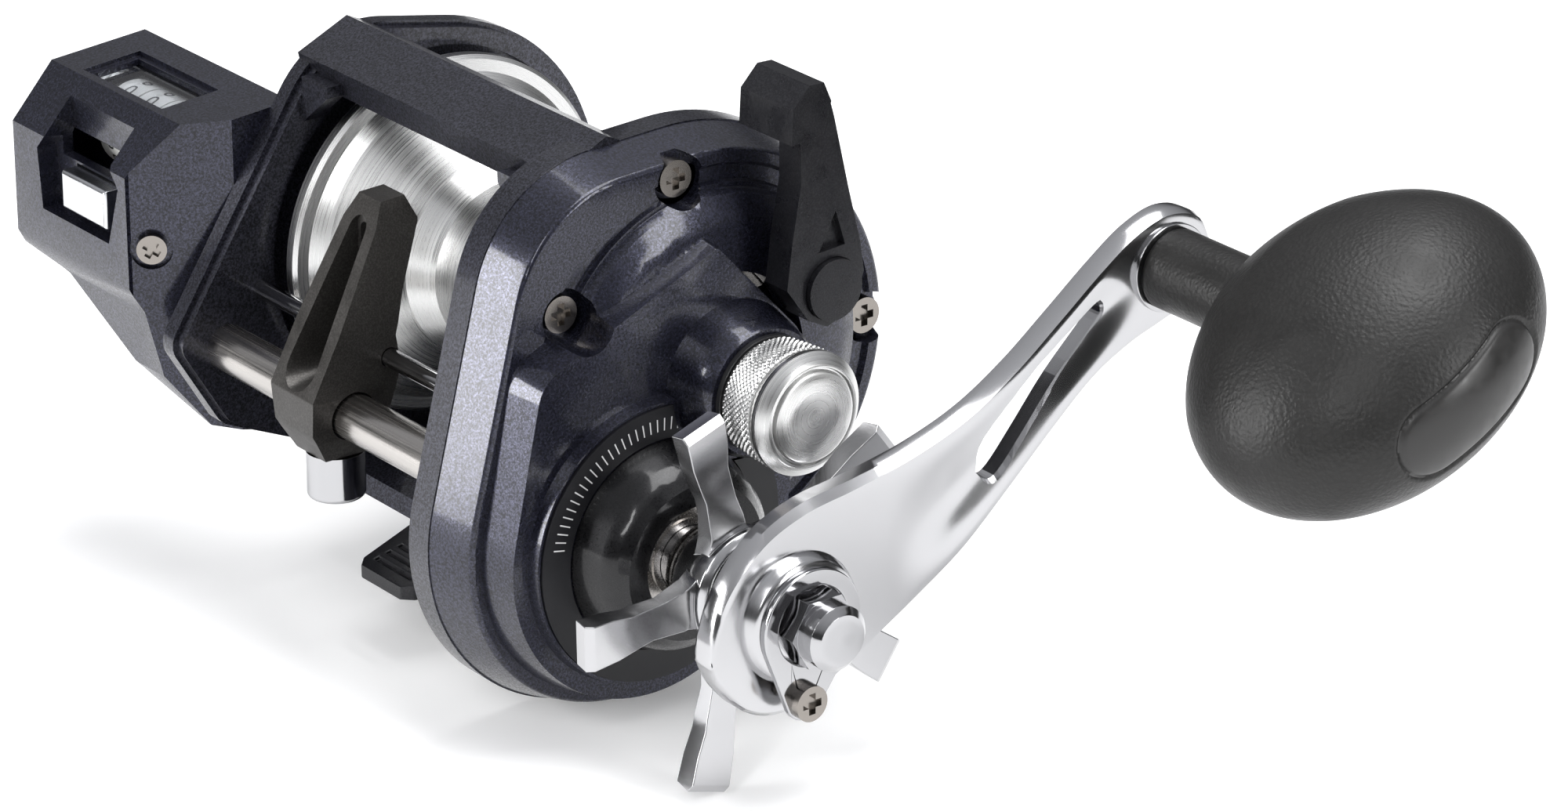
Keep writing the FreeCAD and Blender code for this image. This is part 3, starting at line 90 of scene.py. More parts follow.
# ---------------------------------------------------------------- material helpers
class Shader:
    """A node material under construction, with short calls for the nodes that the finishes need."""

    def __init__(self, name, color, metallic=0.0, roughness=0.5):
        self.made = bpy.data.materials.new(name)
        self.made.use_nodes = True
        self.tree = self.made.node_tree
        self.surface = self.tree.nodes["Principled BSDF"]
        self.set(base_color=(*color, 1.0), metallic=metallic, roughness=roughness)
        self.coordinates = self.tree.nodes.new("ShaderNodeTexCoord").outputs["Object"]

    def set(self, **values):
        for name, value in values.items():
            socket = name.replace("_", " ").title().replace("Ior", "IOR")
            self.surface.inputs[socket].default_value = value

    def link(self, source, target):
        if isinstance(target, str):
            target = self.surface.inputs[target]
        self.tree.links.new(source, target)

    def node(self, kind, **settings):
        made = self.tree.nodes.new(kind)
        for name, value in settings.items():
            setattr(made, name, value)
        return made

    def math(self, operation, first, second=None):
        made = self.node("ShaderNodeMath", operation=operation)
        for socket, value in zip(made.inputs, (first, second)):
            if value is None:
                continue
            if isinstance(value, (int, float)):
                socket.default_value = value
            else:
                self.link(value, socket)
        return made.outputs[0]

    def stretched(self, scale):
        """Object coordinates multiplied by a scale for each axis."""
        made = self.node("ShaderNodeMapping")
        made.inputs["Scale"].default_value = scale
        self.link(self.coordinates, made.inputs["Vector"])
        return made.outputs[0]

    def offsets(self, axis):
        """x, and the offsets in y and z from an axis parallel to X."""
        split = self.node("ShaderNodeSeparateXYZ")
        self.link(self.coordinates, split.inputs[0])
        return (split.outputs[0], self.math("SUBTRACT", split.outputs[1], axis.y),
                self.math("SUBTRACT", split.outputs[2], axis.z))

    def length(self, y, z):
        squares = [self.math("MULTIPLY", side, side) for side in (y, z)]
        return self.math("SQRT", self.math("ADD", *squares))

    def between(self, value, low, high):
        above, below = self.math("GREATER_THAN", value, low), self.math("LESS_THAN", value, high)
        return self.math("MULTIPLY", above, below)

    def turned(self, axis, scale):
        """(x, radius, 0) about an axis parallel to X, times a scale, for marks left by a lathe."""
        x, y, z = self.offsets(axis)
        joined = self.node("ShaderNodeCombineXYZ")
        self.link(self.math("MULTIPLY", x, scale), joined.inputs[0])
        self.link(self.math("MULTIPLY", self.length(y, z), scale), joined.inputs[1])
        return joined.outputs[0]

    def noise(self, scale, detail=2.0, vector=None, rough=0.5):
        made = self.node("ShaderNodeTexNoise")
        made.inputs["Scale"].default_value = scale
        made.inputs["Detail"].default_value = detail
        made.inputs["Roughness"].default_value = rough
        self.link(vector or self.coordinates, made.inputs["Vector"])
        return made.outputs["Fac"]

    def ramp(self, source, *stops):
        """A colour ramp; each stop is a place and a grey level or a colour."""
        made = self.node("ShaderNodeValToRGB")
        while len(made.color_ramp.elements) < len(stops):
            made.color_ramp.elements.new(0.5)
        for element, (place, tone) in zip(made.color_ramp.elements, stops):
            element.position = place
            element.color = (tone, tone, tone, 1.0) if isinstance(tone, (int, float)) else (*tone, 1.0)
        self.link(source, made.inputs[0])
        return made.outputs[0]

    def mix(self, share, first, second, blend="MIX"):
        made = self.node("ShaderNodeMix", data_type="RGBA", blend_type=blend)
        sockets = (made.inputs[0], made.inputs[6], made.inputs[7])
        for socket, value in zip(sockets, (share, first, second)):
            if isinstance(value, (int, float)):
                socket.default_value = value
            elif isinstance(value, tuple):
                socket.default_value = (*value, 1.0)
            else:
                self.link(value, socket)
        return made.outputs[2]

    def bump(self, height, distance, strength=1.0):
        made = self.node("ShaderNodeBump")
        made.inputs["Distance"].default_value = distance
        made.inputs["Strength"].default_value = strength
        self.link(height, made.inputs["Height"])
        self.link(made.outputs[0], "Normal")


def flake_paint(name, dark, light, roughness=0.36, gloss=None):
    """Dark paint with metal flakes in an orange-peel coat; gloss is an axis with a plain black cone."""
    s = Shader(name, dark, metallic=0.7)
    specks = s.ramp(s.noise(2600, 3.0, rough=0.75), (0.40, 0.0), (0.66, 1.0))
    cloud = s.ramp(s.noise(60, 3.0), (0.3, 0.85), (0.7, 1.15))
    color = s.mix(1.0, s.mix(specks, dark, light), cloud, "MULTIPLY")
    if gloss:
        x, y, z = s.offsets(gloss)
        near = s.math("LESS_THAN", s.length(y, z), CONE_RADIUS)
        outer = s.math("GREATER_THAN", x, CONE_START)
        color = s.mix(s.math("MULTIPLY", near, outer), color, (0.004, 0.004, 0.005))
    s.link(color, "Base Color")
    s.link(s.ramp(specks, (0.0, roughness + 0.08), (1.0, roughness - 0.08)), "Roughness")
    s.set(coat_weight=0.5, coat_roughness=0.1)
    s.bump(s.noise(2200, 2.0), 0.00003, 0.4)
    return s.made


def satin_coat(name, color, roughness=0.42, metallic=0.3):
    """Fine even coat on a dark part, with a slightly lighter grain."""
    s = Shader(name, color, metallic)
    grain = s.noise(3500, 2.0)
    lighter = tuple(min(1.0, c * 1.7 + 0.01) for c in color)
    s.link(s.mix(s.ramp(grain, (0.4, 0.0), (0.75, 1.0)), color, lighter), "Base Color")
    s.link(s.ramp(s.noise(260, 3.0), (0.3, roughness - 0.06), (0.7, roughness + 0.06)), "Roughness")
    s.bump(grain, 0.00003, 0.4)
    return s.made


def turned_metal(name, color, axis, roughness=0.22):
    """Metal turned on a lathe about an axis parallel to X, with fine rings and soft radial shine."""
    s = Shader(name, color, metallic=1.0)
    rings = s.noise(1.0, 2.0, s.turned(axis, 5200))
    s.link(s.ramp(rings, (0.3, roughness - 0.05), (0.7, roughness + 0.07)), "Roughness")
    darker = tuple(c * 0.9 for c in color)
    s.link(s.mix(s.ramp(rings, (0.3, 0.0), (0.7, 1.0)), darker, color), "Base Color")
    s.bump(rings, 0.000002, 0.4)
    s.set(anisotropic=0.5)
    tangent = s.node("ShaderNodeTangent", direction_type="RADIAL", axis="X")
    s.link(tangent.outputs[0], "Tangent")
    return s.made


def brushed_metal(name, color, scale, roughness=0.2):
    """Metal brushed in one direction: the scale is low along the brushing and high across it."""
    s = Shader(name, color, metallic=1.0)
    lines = s.noise(1.0, 3.0, s.stretched(scale))
    s.link(s.ramp(lines, (0.3, roughness - 0.04), (0.7, roughness + 0.08)), "Roughness")
    darker = tuple(c * 0.88 for c in color)
    s.link(s.mix(s.ramp(lines, (0.25, 0.0), (0.75, 1.0)), darker, color), "Base Color")
    s.bump(lines, 0.000008, 0.5)
    return s.made


def polished_metal(name, color, roughness=0.1):
    s = Shader(name, color, metallic=1.0)
    s.link(s.ramp(s.noise(90, 4.0), (0.3, roughness - 0.03), (0.75, roughness + 0.06)), "Roughness")
    s.bump(s.noise(500, 3.0), 0.00001, 0.3)
    return s.made


def pebbled_rubber(name, color, scale, height, roughness=0.42):
    """Moulded rubber with a leather-like grain of small rounded bumps."""
    s = Shader(name, color)
    cells = s.node("ShaderNodeTexVoronoi", feature="SMOOTH_F1")
    cells.inputs["Scale"].default_value = scale
    cells.inputs["Smoothness"].default_value = 0.7
    s.link(s.coordinates, cells.inputs["Vector"])
    grain = s.mix(0.45, cells.outputs["Distance"], s.noise(scale * 1.7, 3.0))
    s.link(s.ramp(s.noise(140, 3.0), (0.3, roughness - 0.05), (0.7, roughness + 0.08)), "Roughness")
    lighter = tuple(c * 1.5 for c in color)
    s.link(s.mix(s.ramp(grain, (0.2, 0.0), (0.7, 1.0)), lighter, color), "Base Color")
    s.bump(grain, height, 0.9)
    s.set(specular_ior_level=0.34)
    return s.made


def moulded_plastic(name, color, roughness=0.35):
    s = Shader(name, color)
    s.link(s.ramp(s.noise(400, 2.0), (0.3, roughness - 0.05), (0.7, roughness + 0.07)), "Roughness")
    darker = tuple(c * 0.93 for c in color)
    s.link(s.mix(s.ramp(s.noise(45, 2.0), (0.3, 0.0), (0.7, 1.0)), color, darker), "Base Color")
    s.bump(s.noise(3000, 2.0), 0.00001, 0.3)
    return s.made


def ticked_ring(name, color, axis):
    """Satin black ring with a plain scale of pale ticks over part of its turn."""
    s = Shader(name, color, metallic=0.3, roughness=0.34)
    y, z = s.offsets(axis)[1:]
    turn = s.math("ARCTAN2", z, y)
    ticks = s.math("MULTIPLY", turn, TICKS_PER_RADIAN)
    tick = s.math("LESS_THAN", s.math("FRACT", ticks), TICK_SHARE)
    band = s.between(s.length(y, z), SCALE_INNER, SCALE_OUTER)
    arc = s.between(turn, SCALE_FROM, SCALE_TO)
    mask = s.math("MULTIPLY", s.math("MULTIPLY", tick, band), arc)
    s.link(s.mix(mask, color, (0.75, 0.75, 0.75)), "Base Color")
    s.link(s.ramp(s.noise(400, 2.0), (0.3, 0.3), (0.7, 0.42)), "Roughness")
    s.bump(s.noise(3000, 2.0), 0.00002, 0.3)
    return s.made


def clear_lens(name):
    s = Shader(name, (0.95, 0.97, 1.0), roughness=0.03)
    s.link(s.ramp(s.noise(300, 2.0), (0.3, 0.02), (0.7, 0.06)), "Roughness")
    s.set(transmission_weight=1.0, ior=1.45)
    s.bump(s.noise(120, 1.0), 0.00001, 0.2)
    return s.made


# ---------------------------------------------------------------- finishes by record slot
FLAKE = flake_paint("flake_paint", (0.003, 0.003, 0.005), (0.055, 0.056, 0.078), 0.36)
SHELL = flake_paint("shell_paint", (0.003, 0.003, 0.006), (0.040, 0.042, 0.070), 0.30)
COVER_PAINT = flake_paint("cover_paint", (0.003, 0.003, 0.006), (0.040, 0.042, 0.070), 0.30, DRIVE)
finishes = {
    "speckled_paint": FLAKE,
    "blue_shell": SHELL,
    "black_coat": satin_coat("black_coat", (0.006, 0.006, 0.008), 0.30),
    "dark_ring": ticked_ring("dark_ring", (0.008, 0.008, 0.010), DRIVE),
    "gunmetal": satin_coat("gunmetal", (0.030, 0.028, 0.026), 0.36, 0.6),
    "polished_steel": polished_metal("polished_steel", (0.42, 0.42, 0.43)),
    "brushed_steel": brushed_metal("brushed_steel", (0.48, 0.46, 0.44), (60, 3800, 3800), 0.22),
    "machined_aluminium": turned_metal("machined_aluminium", (0.66, 0.66, 0.655), SPOOL, 0.28),
    "polished_aluminium": polished_metal("polished_aluminium", (0.46, 0.46, 0.47), 0.16),
    "screw_steel": polished_metal("screw_steel", (0.26, 0.24, 0.22), 0.24),
    "gear_brass": turned_metal("gear_brass", (0.75, 0.55, 0.26), DRIVE, 0.28),
    "carbon_washer": moulded_plastic("carbon_washer", (0.03, 0.03, 0.03)),
    "rubber_grip": pebbled_rubber("rubber_grip", (0.009, 0.0087, 0.0083), 1500, 0.00014, 0.42),
    "black_plastic": moulded_plastic("black_plastic", (0.012, 0.012, 0.013)),
    "white_plastic": moulded_plastic("white_plastic", (0.75, 0.75, 0.73), 0.3),
    "lens": clear_lens("lens_clear"),
    "silver_plastic": polished_metal("silver_plastic", (0.62, 0.63, 0.65), 0.22),
}


def finish(obj, material):
    obj.data.materials.clear()
    obj.data.materials.append(material)


slot_of = {part["node"]: part["material_slot"] for part in frame["record"]["subparts"]}
for name, obj in frame["nodes"].items():
    finish(obj, COVER_PAINT if name == "gear_side_cover" else finishes[slot_of[name]])


# ---------------------------------------------------------------- crisp edges on the CAD nodes
# Widths of the rounded edges, in millimetres.
EDGES = {
    "frame": 0.6, "gear_side_cover": 0.5, "counter_housing": 0.7, "counter_side_cover": 0.3,
    "clutch_lever": 0.9, "line_guide": 0.7, "star_drag": 0.6, "handle_nut": 0.35,
    "nut_retainer": 0.25, "reel_foot": 0.5, "lever_cap": 0.3, "reset_button": 0.2,
    "pawl_cap": 0.2, "star_spacer": 0.2, "knob_ferrule": 0.15, "levelwind_tube": 0.1,
}


def crisp(obj, width):
    """A narrow rounded edge, as moulding and tumbling leave it, that catches the light."""
    weld = obj.modifiers.new("weld", "WELD")
    weld.merge_threshold = 0.002 * MM
    bevel = obj.modifiers.new("edge", "BEVEL")
    bevel.width = width * MM
    bevel.segments = 3
    bevel.limit_method = "ANGLE"
    bevel.angle_limit = math.radians(32)
    bevel.use_clamp_overlap = True
    bevel.harden_normals = True
    normals = obj.modifiers.new("normals", "WEIGHTED_NORMAL")
    normals.keep_sharp = False
    normals.weight = 80


for name, width in EDGES.items():
    crisp(frame["nodes"][name], width)


# ---------------------------------------------------------------- pieces drawn here
def new_object(name, data):
    made = bpy.data.objects.new(name, data)
    bpy.context.scene.collection.objects.link(made)
    return made


def clean_mesh(name, points, faces):
    """A mesh with doubled and loose points cleared and its faces turned outward."""
    mesh = bpy.data.meshes.new(name)
    mesh.from_pydata([tuple(p) for p in points], [], faces)
    mesh.validate()
    worked = bmesh.new()
    worked.from_mesh(mesh)
    bmesh.ops.remove_doubles(worked, verts=worked.verts, dist=0.001 * MM)
    loose = [v for v in worked.verts if not v.link_faces]
    bmesh.ops.delete(worked, geom=loose, context="VERTS")
    bmesh.ops.recalc_face_normals(worked, faces=worked.faces)
    worked.to_mesh(mesh)
    worked.free()
    return mesh


def piece(name, points, faces, material, body, slot, *nodes):
    """A smooth mesh that rides on a body and stands for the CAD nodes it replaces."""
    mesh = clean_mesh(name, points, faces)
    mesh.shade_smooth()
    mesh.materials.append(material)
    made = new_object(name, mesh)
    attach(made, body)
    if nodes:
        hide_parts(*nodes)
    return made


def split_edges(obj, degrees):
    split = obj.modifiers.new("split", "EDGE_SPLIT")
    split.split_angle = math.radians(degrees)


def grid_faces(rows, around):
    """Quads between rows of points; each row is a closed loop."""
    faces = []
    for i in range(rows - 1):
        for j in range(around):
            k = (j + 1) % around
            near, far = i * around, (i + 1) * around
            faces.append((near + j, near + k, far + k, far + j))
    return faces


def clamped(value):
    return min(1.0, max(0.0, value))


# Knob: an egg-shaped grip, wider than it is thick, flaring out of a slim neck.
GRIP_LOW, GRIP_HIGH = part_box("knob_grip")
GRIP_DEPTH = 24.6 * MM
GRIP_LONG = 29.0 * MM
GRIP_SHORT = 17.6 * MM
GRIP_TURN = math.radians(31)
GRIP_MIDDLE = GRIP_HIGH.x - GRIP_DEPTH
NECK = 6.35 * MM
NECK_FADE = 14 * MM
NECK_BLEND = 2.4
INLAY_LONG = 8.0 * MM
INLAY_ROUND = 6.1 * MM
INLAY_SUNK = 0.12 * MM
GROOVE_DEPTH = 0.55 * MM
GROOVE_WIDTH = 0.42 * MM


def grip_halves(x):
    """Half sizes of the grip's oval section at x."""
    share = (x - GRIP_MIDDLE) / GRIP_DEPTH
    swell = math.sqrt(max(0.0, 1 - share * share)) if share > -1 else 0.0
    neck = NECK * clamped((GRIP_MIDDLE - x) / NECK_FADE)
    return [(neck ** NECK_BLEND + (half * swell) ** NECK_BLEND) ** (1 / NECK_BLEND)
            for half in (GRIP_LONG, GRIP_SHORT)]


def make_grip():
    around, neck_steps, swell_steps = 288, 70, 150
    reach = GRIP_MIDDLE - 6 * MM - GRIP_LOW.x
    stations = [GRIP_LOW.x + 0.4 * MM + reach * i / neck_steps for i in range(neck_steps + 1)]
    last = math.asin((stations[-1] - GRIP_MIDDLE) / GRIP_DEPTH)
    stations += [GRIP_MIDDLE + GRIP_DEPTH * math.sin(last + (math.pi / 2 - last) * i / swell_steps)
                 for i in range(1, swell_steps + 1)]
    points, spots = [], []
    for x in stations:
        long_half, short_half = grip_halves(x)
        for j in range(around):
            angle = 2 * math.pi * j / around
            u, v = long_half * math.cos(angle), short_half * math.sin(angle)
            beyond = max(0.0, abs(u) - INLAY_LONG)
            edge = math.hypot(beyond, v) - INLAY_ROUND
            sunk = 0.0
            if x > GRIP_MIDDLE:
                sunk = GROOVE_DEPTH * math.exp(-(edge / GROOVE_WIDTH) ** 2)
                if edge < 0:
                    sunk += INLAY_SUNK
            y = u * math.cos(GRIP_TURN) - v * math.sin(GRIP_TURN)
            z = u * math.sin(GRIP_TURN) + v * math.cos(GRIP_TURN)
            points.append((x - sunk, KNOB.y + y, KNOB.z + z))
            spots.append(edge if x > GRIP_MIDDLE else 1.0)
    faces = grid_faces(len(stations), around)
    inside = [f for f in faces if sum(spots[i] for i in f) < 0]
    outside = [f for f in faces if sum(spots[i] for i in f) >= 0]
    outside.append(tuple(range(around)))
    piece("grip_skin", points, outside, finishes["rubber_grip"], "knob", "rubber_grip", "knob_grip")
    smooth = moulded_plastic("inlay_smooth", (0.014, 0.0135, 0.013), 0.34)
    piece("grip_inlay", points, inside, smooth, "knob", "rubber_grip", "knob_inlay")


def lathe_points(profile, axis, around, shape=None):
    """Rows of points turned about an axis parallel to X; shape may move a radius by place."""
    points = []
    for x, radius in profile:
        for j in range(around):
            angle = 2 * math.pi * j / around
            r = radius + (shape(x, angle) if shape else 0.0)
            points.append((x, axis.y + r * math.cos(angle), axis.z + r * math.sin(angle)))
    return points


# Spool tension knob: a diamond-knurled barrel, then a bright chamfer and an inset turned disc. The
# end's points are places from the knob's base and radii, in millimetres.
KNURL_FROM = 0.5 * MM
KNURL_TO = 7.2 * MM
KNURL_COUNT = 30
KNURL_PITCH = 0.95 * MM
KNURL_DEPTH = 0.34 * MM
KNOB_END = [(7.3, 9.0), (7.7, 9.0), (7.9, 9.5), (8.3, 9.75), (9.1, 9.75), (10.6, 8.3), (10.75, 8.0),
            (10.75, 7.7), (10.3, 7.5), (10.3, 7.3), (11.0, 7.1), (11.2, 6.7), (11.25, 4.0),
            (11.25, 0.01)]


def make_tension_knob():
    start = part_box("tension_knob")[0].x
    knurl_from, knurl_to = start + KNURL_FROM, start + KNURL_TO
    steps = 44
    profile = [(start, 7.8 * MM), (start, 8.9 * MM)]
    profile += [(knurl_from + (knurl_to - knurl_from) * i / steps, (9.0 + 0.45 * i / steps) * MM)
                for i in range(steps + 1)]
    profile += [(start + x * MM, radius * MM) for x, radius in KNOB_END]

    def knurl(x, angle):
        if not knurl_from < x < knurl_to:
            return 0.0
        along = (x - knurl_from) / KNURL_PITCH * math.pi
        ridges = (abs(math.sin(KNURL_COUNT * angle + lean)) for lean in (along, -along))
        return KNURL_DEPTH * min(ridges)

    around = 360
    made = piece("tension_barrel", lathe_points(profile, SPOOL, around, knurl),
                 grid_faces(len(profile), around), finishes["machined_aluminium"], "tension",
                 "machined_aluminium", "tension_knob")
    split_edges(made, 35)


# Handle arm, in millimetres: paired points down its two edges, from the hub's end to the knob's, and
# the slot's outline, as (y, z) from the drive axis. The dish fades out towards both ends.
ARM_FRONT = [(-15.7, -4), (-13.4, -8.6), (-8.6, -13.4), (-2.8, -15.4), (3.6, -14.2), (12.2, -9.6),
             (22.6, -3.6), (31.2, 1.9), (39.9, 9.4), (48.6, 17.2), (56, 23.2), (63, 26.8),
             (69.5, 29), (76, 31.6), (79.4, 38)]
ARM_BACK = [(-15.7, -4), (-15, 1.2), (-12, 8), (-6, 14), (1.6, 17.2), (11, 18.6), (21.6, 20.6),
            (32, 24), (41, 29), (49.6, 35.2), (57.4, 41), (64, 45.2), (70.5, 47), (76.6, 44.8),
            (79.4, 38)]
ARM_SLOT = [(34.4, 13.6), (36.4, 11.8), (38.8, 12.6), (43.4, 17.6), (49.8, 25), (57.2, 32),
            (58.2, 33.6), (57.6, 35), (55.6, 34.6), (45, 27.2), (35.8, 19)]
ARM_THICK = 4.4
ARM_EDGE = 1.3
ARM_CHAMFER = 0.6
DISH_DEPTH = 1.35
DISH_FROM, DISH_TO, DISH_FADE = 19, 76, 12
DISH_MARGIN = 0.08


def smooth_path(points, steps):
    """A Catmull-Rom curve through points."""
    spots = [Vector(p) for p in points]
    spots = [spots[0] * 2 - spots[1]] + spots + [spots[-1] * 2 - spots[-2]]
    path = []
    for i in range(1, len(spots) - 2):
        a, b, c, d = spots[i - 1:i + 3]
        for step in range(steps):
            t = step / steps
            path.append(0.5 * (2 * b + (c - a) * t + (2 * a - 5 * b + 4 * c - d) * t * t
                               + (3 * b - a - 3 * c + d) * t * t * t))
    path.append(spots[-2])
    return path


def arm_point(x, spot):
    """The place of a point of the arm's outlines at x."""
    return x, DRIVE.y + spot.x * MM, DRIVE.z + spot.y * MM


def arm_rows(under, top, across):
    """Closed sections of the arm: a dished face with round edges, then a flat back with a chamfer."""
    rows = []
    for a, b in zip(smooth_path(ARM_FRONT, 8), smooth_path(ARM_BACK, 8)):
        width = (b - a).length
        round_edge = min(ARM_EDGE, width / 2)
        place = ((a + b) / 2).length
        fade = clamped((place - DISH_FROM) / DISH_FADE) * clamped((DISH_TO - place) / DISH_FADE)
        dish = DISH_DEPTH * fade
        shares = [j / across for j in range(across + 1)]
        row = []
        for share in shares:
            inward = min(share, 1 - share) * width
            drop = 0.0
            if inward < round_edge:
                lean = 1 - inward / round_edge
                drop = round_edge * (1 - math.sqrt(max(0.0, 1 - lean * lean)))
            hollow = math.sin(math.pi * clamped((share - DISH_MARGIN) / (1 - 2 * DISH_MARGIN))) ** 2
            row.append(arm_point(top - (drop + dish * hollow) * MM, a.lerp(b, share)))
        for share in reversed(shares):
            drop = max(0.0, ARM_CHAMFER - min(share, 1 - share) * width)
            row.append(arm_point(under + drop * MM, a.lerp(b, share)))
        rows.append(row)
    return rows


def cut_slot(arm, under, top):
    """Cuts the slot right through the arm, wider at the face, and leaves the result as a mesh."""
    loop = smooth_path(ARM_SLOT + ARM_SLOT[:1], 4)[:-1]
    count = len(loop)
    centre = sum(loop, Vector((0, 0))) / count
    walls = []
    for x, grow in ((under - 2 * MM, 0.0), (top - 1.6 * MM, 0.0), (top + 1.5 * MM, 1.4)):
        walls += [arm_point(x, spot + (spot - centre).normalized() * grow) for spot in loop]
    faces = grid_faces(3, count) + [tuple(range(count)), tuple(range(2 * count, 3 * count))]
    tool = new_object("slot_tool", clean_mesh("slot_tool", walls, faces))
    slot = arm.modifiers.new("slot", "BOOLEAN")
    slot.operation = "DIFFERENCE"
    slot.solver = "EXACT"
    slot.object = tool
    bpy.context.view_layer.update()
    shaped = arm.evaluated_get(bpy.context.evaluated_depsgraph_get())
    cut = bpy.data.meshes.new_from_object(shaped)
    arm.modifiers.clear()
    arm.data = cut
    bpy.data.objects.remove(tool)


def make_arm():
    low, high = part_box("handle_arm")
    under, top = low.x, low.x + ARM_THICK * MM
    across = 26
    rows = arm_rows(under, top, across)
    points = [p for row in rows for p in row]
    arm = piece("arm_swept", points, grid_faces(len(rows), 2 * (across + 1)),
                finishes["polished_aluminium"], "drive", "polished_aluminium", "handle_arm")
    cut_slot(arm, under, top)
    split_edges(arm, 38)
    boss = [(top - 1 * MM, 10.4 * MM), (top + 0.6 * MM, 10.2 * MM), (top + 1.0 * MM, 9.9 * MM),
            (high.x - 0.5 * MM, 9.6 * MM), (high.x - 0.1 * MM, 9.2 * MM),
            (high.x - 0.05 * MM, 4 * MM)]
    around = 128
    piece("arm_boss", lathe_points(boss, DRIVE, around), grid_faces(len(boss), around),
          finishes["polished_aluminium"], "drive", "polished_aluminium")


# Figures on the counter wheels: their height, how far they stand proud and where the first one sits.
FIGURE_SIZE = 4.4 * MM
FIGURE_LIFT = 0.04 * MM
FIGURE_START = math.radians(20)
FIGURE_STEP = math.radians(36)


def figure_mesh(digit):
    """One figure as a flat mesh about the origin."""
    text = bpy.data.curves.new("figure", "FONT")
    text.body = str(digit)
    text.size = FIGURE_SIZE
    text.align_x = "CENTER"
    text.align_y = "CENTER"
    text.resolution_u = 4
    figure = new_object("figure", text)
    bpy.context.view_layer.update()
    shown = figure.evaluated_get(bpy.context.evaluated_depsgraph_get())
    flat = bpy.data.meshes.new_from_object(shown)
    bpy.data.objects.remove(figure)
    return flat


def make_digits():
    """Ten figures round each counter wheel, upright for the angler behind the reel."""
    ink = moulded_plastic("digit_ink", (0.012, 0.012, 0.012), 0.4)
    for name in ("hundreds", "tens", "units"):
        low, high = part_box("digit_wheel_" + name)
        radius = (high.z - low.z) / 2 + FIGURE_LIFT
        points, faces = [], []
        for digit in range(10):
            flat = figure_mesh(digit)
            first = len(points)
            for vertex in flat.vertices:
                turn = FIGURE_START + FIGURE_STEP * digit + vertex.co.y / radius
                points.append(((low.x + high.x) / 2 - vertex.co.x,
                               COUNTER.y - radius * math.sin(turn),
                               COUNTER.z + radius * math.cos(turn)))
            faces += [tuple(first + i for i in polygon.vertices) for polygon in flat.polygons]
        piece("figures_" + name, points, faces, ink, "digit_" + name, "white_plastic")


make_grip()
make_tension_knob()
make_arm()
make_digits()


# ---------------------------------------------------------------- stage
def make_floor():
    s = Shader("floor_pale", (0.92, 0.92, 0.92), roughness=0.7)
    s.link(s.ramp(s.noise(3.0, 2.0), (0.3, 0.65), (0.7, 0.75)), "Roughness")
    s.set(emission_color=(1, 1, 1, 1), emission_strength=0.20, specular_ior_level=0.1)
    mesh = bpy.data.meshes.new("floor")
    half = 4.0
    height = cad_low.z - 0.5 * MM
    mesh.from_pydata([(-half, -half, height), (half, -half, height), (half, half, height),
                      (-half, half, height)], [], [(0, 1, 2, 3)])
    mesh.materials.append(s.made)
    new_object("floor", mesh)


def turn_to(obj, direction):
    obj.rotation_mode = "QUATERNION"
    obj.rotation_quaternion = direction.to_track_quat("-Z", "Y")


def area_light(name, place, aim, size, power):
    data = bpy.data.lights.new(name, "AREA")
    data.shape = "RECTANGLE"
    data.size, data.size_y = size
    data.energy = power
    lamp = new_object(name, data)
    lamp.location = place
    turn_to(lamp, aim - Vector(place))


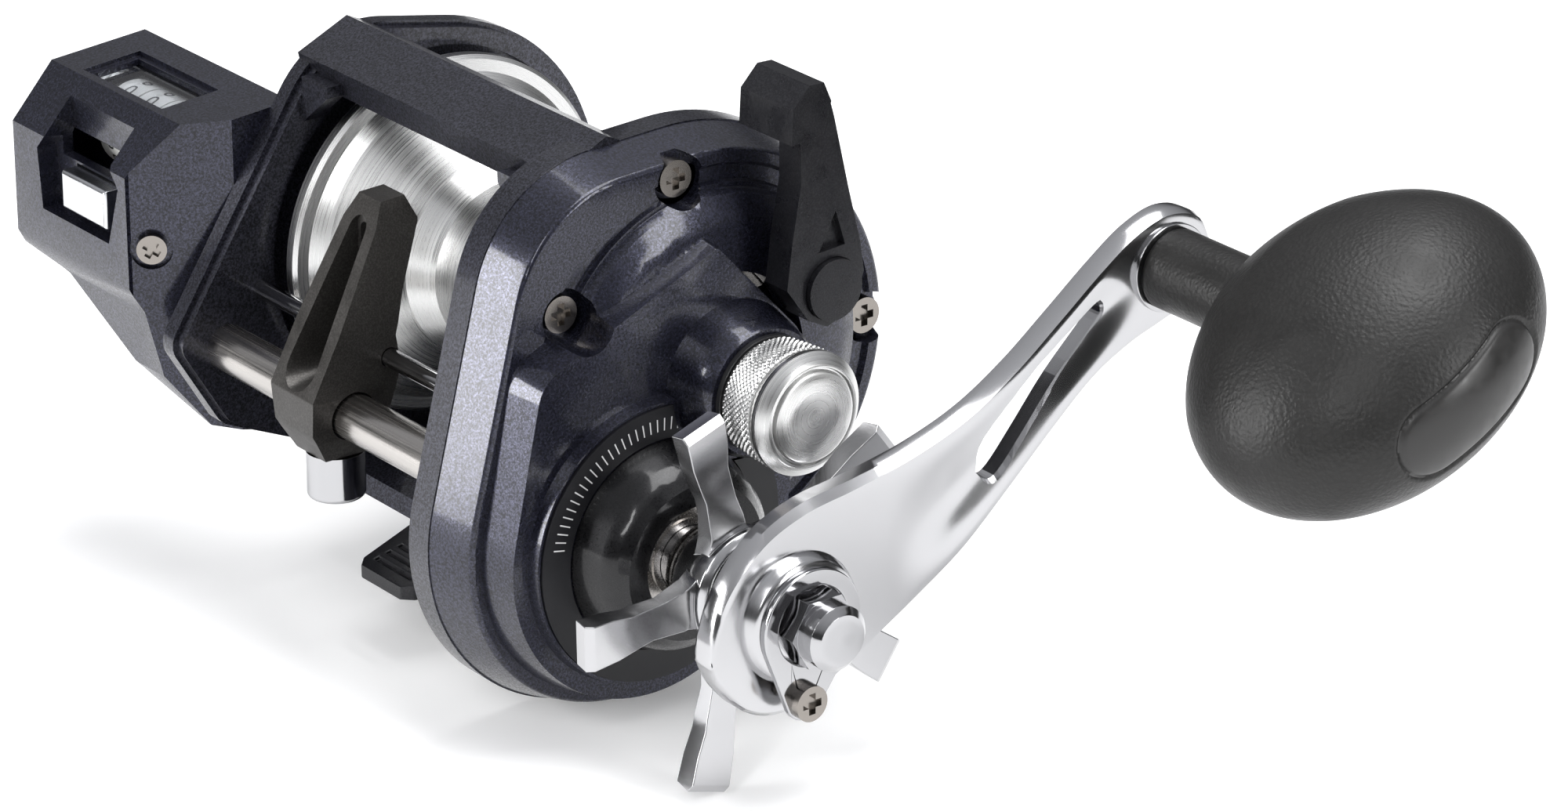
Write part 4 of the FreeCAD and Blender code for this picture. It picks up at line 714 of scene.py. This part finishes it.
def make_flag(name, place, aim, size):
    """A dark card that only reflections show, so that bright metal has dark bands."""
    w, h = size[0] / 2, size[1] / 2
    mesh = bpy.data.meshes.new(name)
    mesh.from_pydata([(-w, -h, 0), (w, -h, 0), (w, h, 0), (-w, h, 0)], [], [(0, 1, 2, 3)])
    s = Shader(name + "_cloth", (0.02, 0.02, 0.02), roughness=0.9)
    s.link(s.ramp(s.noise(20.0, 2.0), (0.3, 0.85), (0.7, 0.95)), "Roughness")
    mesh.materials.append(s.made)
    flag = new_object(name, mesh)
    flag.location = place
    turn_to(flag, aim - Vector(place))
    flag.visible_camera = False
    flag.visible_diffuse = False
    flag.visible_shadow = False


def make_world():
    """Soft surroundings: pale above, with a darker band low down that gives metal its contrast."""
    world = bpy.data.worlds.new("studio")
    bpy.context.scene.world = world
    world.use_nodes = True
    nodes, links = world.node_tree.nodes, world.node_tree.links
    split = nodes.new("ShaderNodeSeparateXYZ")
    links.new(nodes.new("ShaderNodeTexCoord").outputs["Generated"], split.inputs[0])
    ramp = nodes.new("ShaderNodeValToRGB")
    stops = [(0.0, 0.06), (0.22, 0.08), (0.42, 0.34), (0.7, 0.55), (1.0, 0.7)]
    while len(ramp.color_ramp.elements) < len(stops):
        ramp.color_ramp.elements.new(0.5)
    for element, (place, tone) in zip(ramp.color_ramp.elements, stops):
        element.position = place
        element.color = (tone * 0.98, tone * 0.99, tone * 1.03, 1)
    links.new(split.outputs[2], ramp.inputs[0])
    links.new(ramp.outputs[0], nodes["Background"].inputs["Color"])


def make_lights():
    aim = SPOOL
    area_light("top_softbox", (0.05, 0.15, 0.95), aim, (0.8, 0.5), 8.5)
    area_light("left_softbox", (-0.45, -1.0, 0.22), aim, (0.3, 0.7), 11)
    area_light("front_strip", (0.65, -1.0, 0.85), aim, (0.2, 0.7), 5)
    area_light("right_softbox", (1.15, 0.35, 0.55), aim, (0.3, 0.8), 7.5)
    make_flag("back_flag", (0.62, 0.42, 0.06), aim, (0.55, 0.16))
    make_flag("front_flag", (0.45, -0.75, 0.10), aim, (0.10, 0.5))
    make_world()


def make_camera():
    aim = Vector((0.0554, 0.0045, 0.0400))
    distance = 0.930
    azimuth, elevation = math.radians(52.44), math.radians(22.74)
    level = math.cos(elevation)
    back = Vector((math.sin(azimuth) * level, -math.cos(azimuth) * level, math.sin(elevation)))
    data = bpy.data.cameras.new("camera")
    data.sensor_width = 36.0
    data.lens = 142.45
    data.clip_start = 0.05
    camera = new_object("camera", data)
    camera.location = aim + back * distance
    turn_to(camera, -back)
    bpy.context.scene.camera = camera


make_floor()
make_lights()
make_camera()
bpy.context.scene.view_settings.view_transform = "Standard"
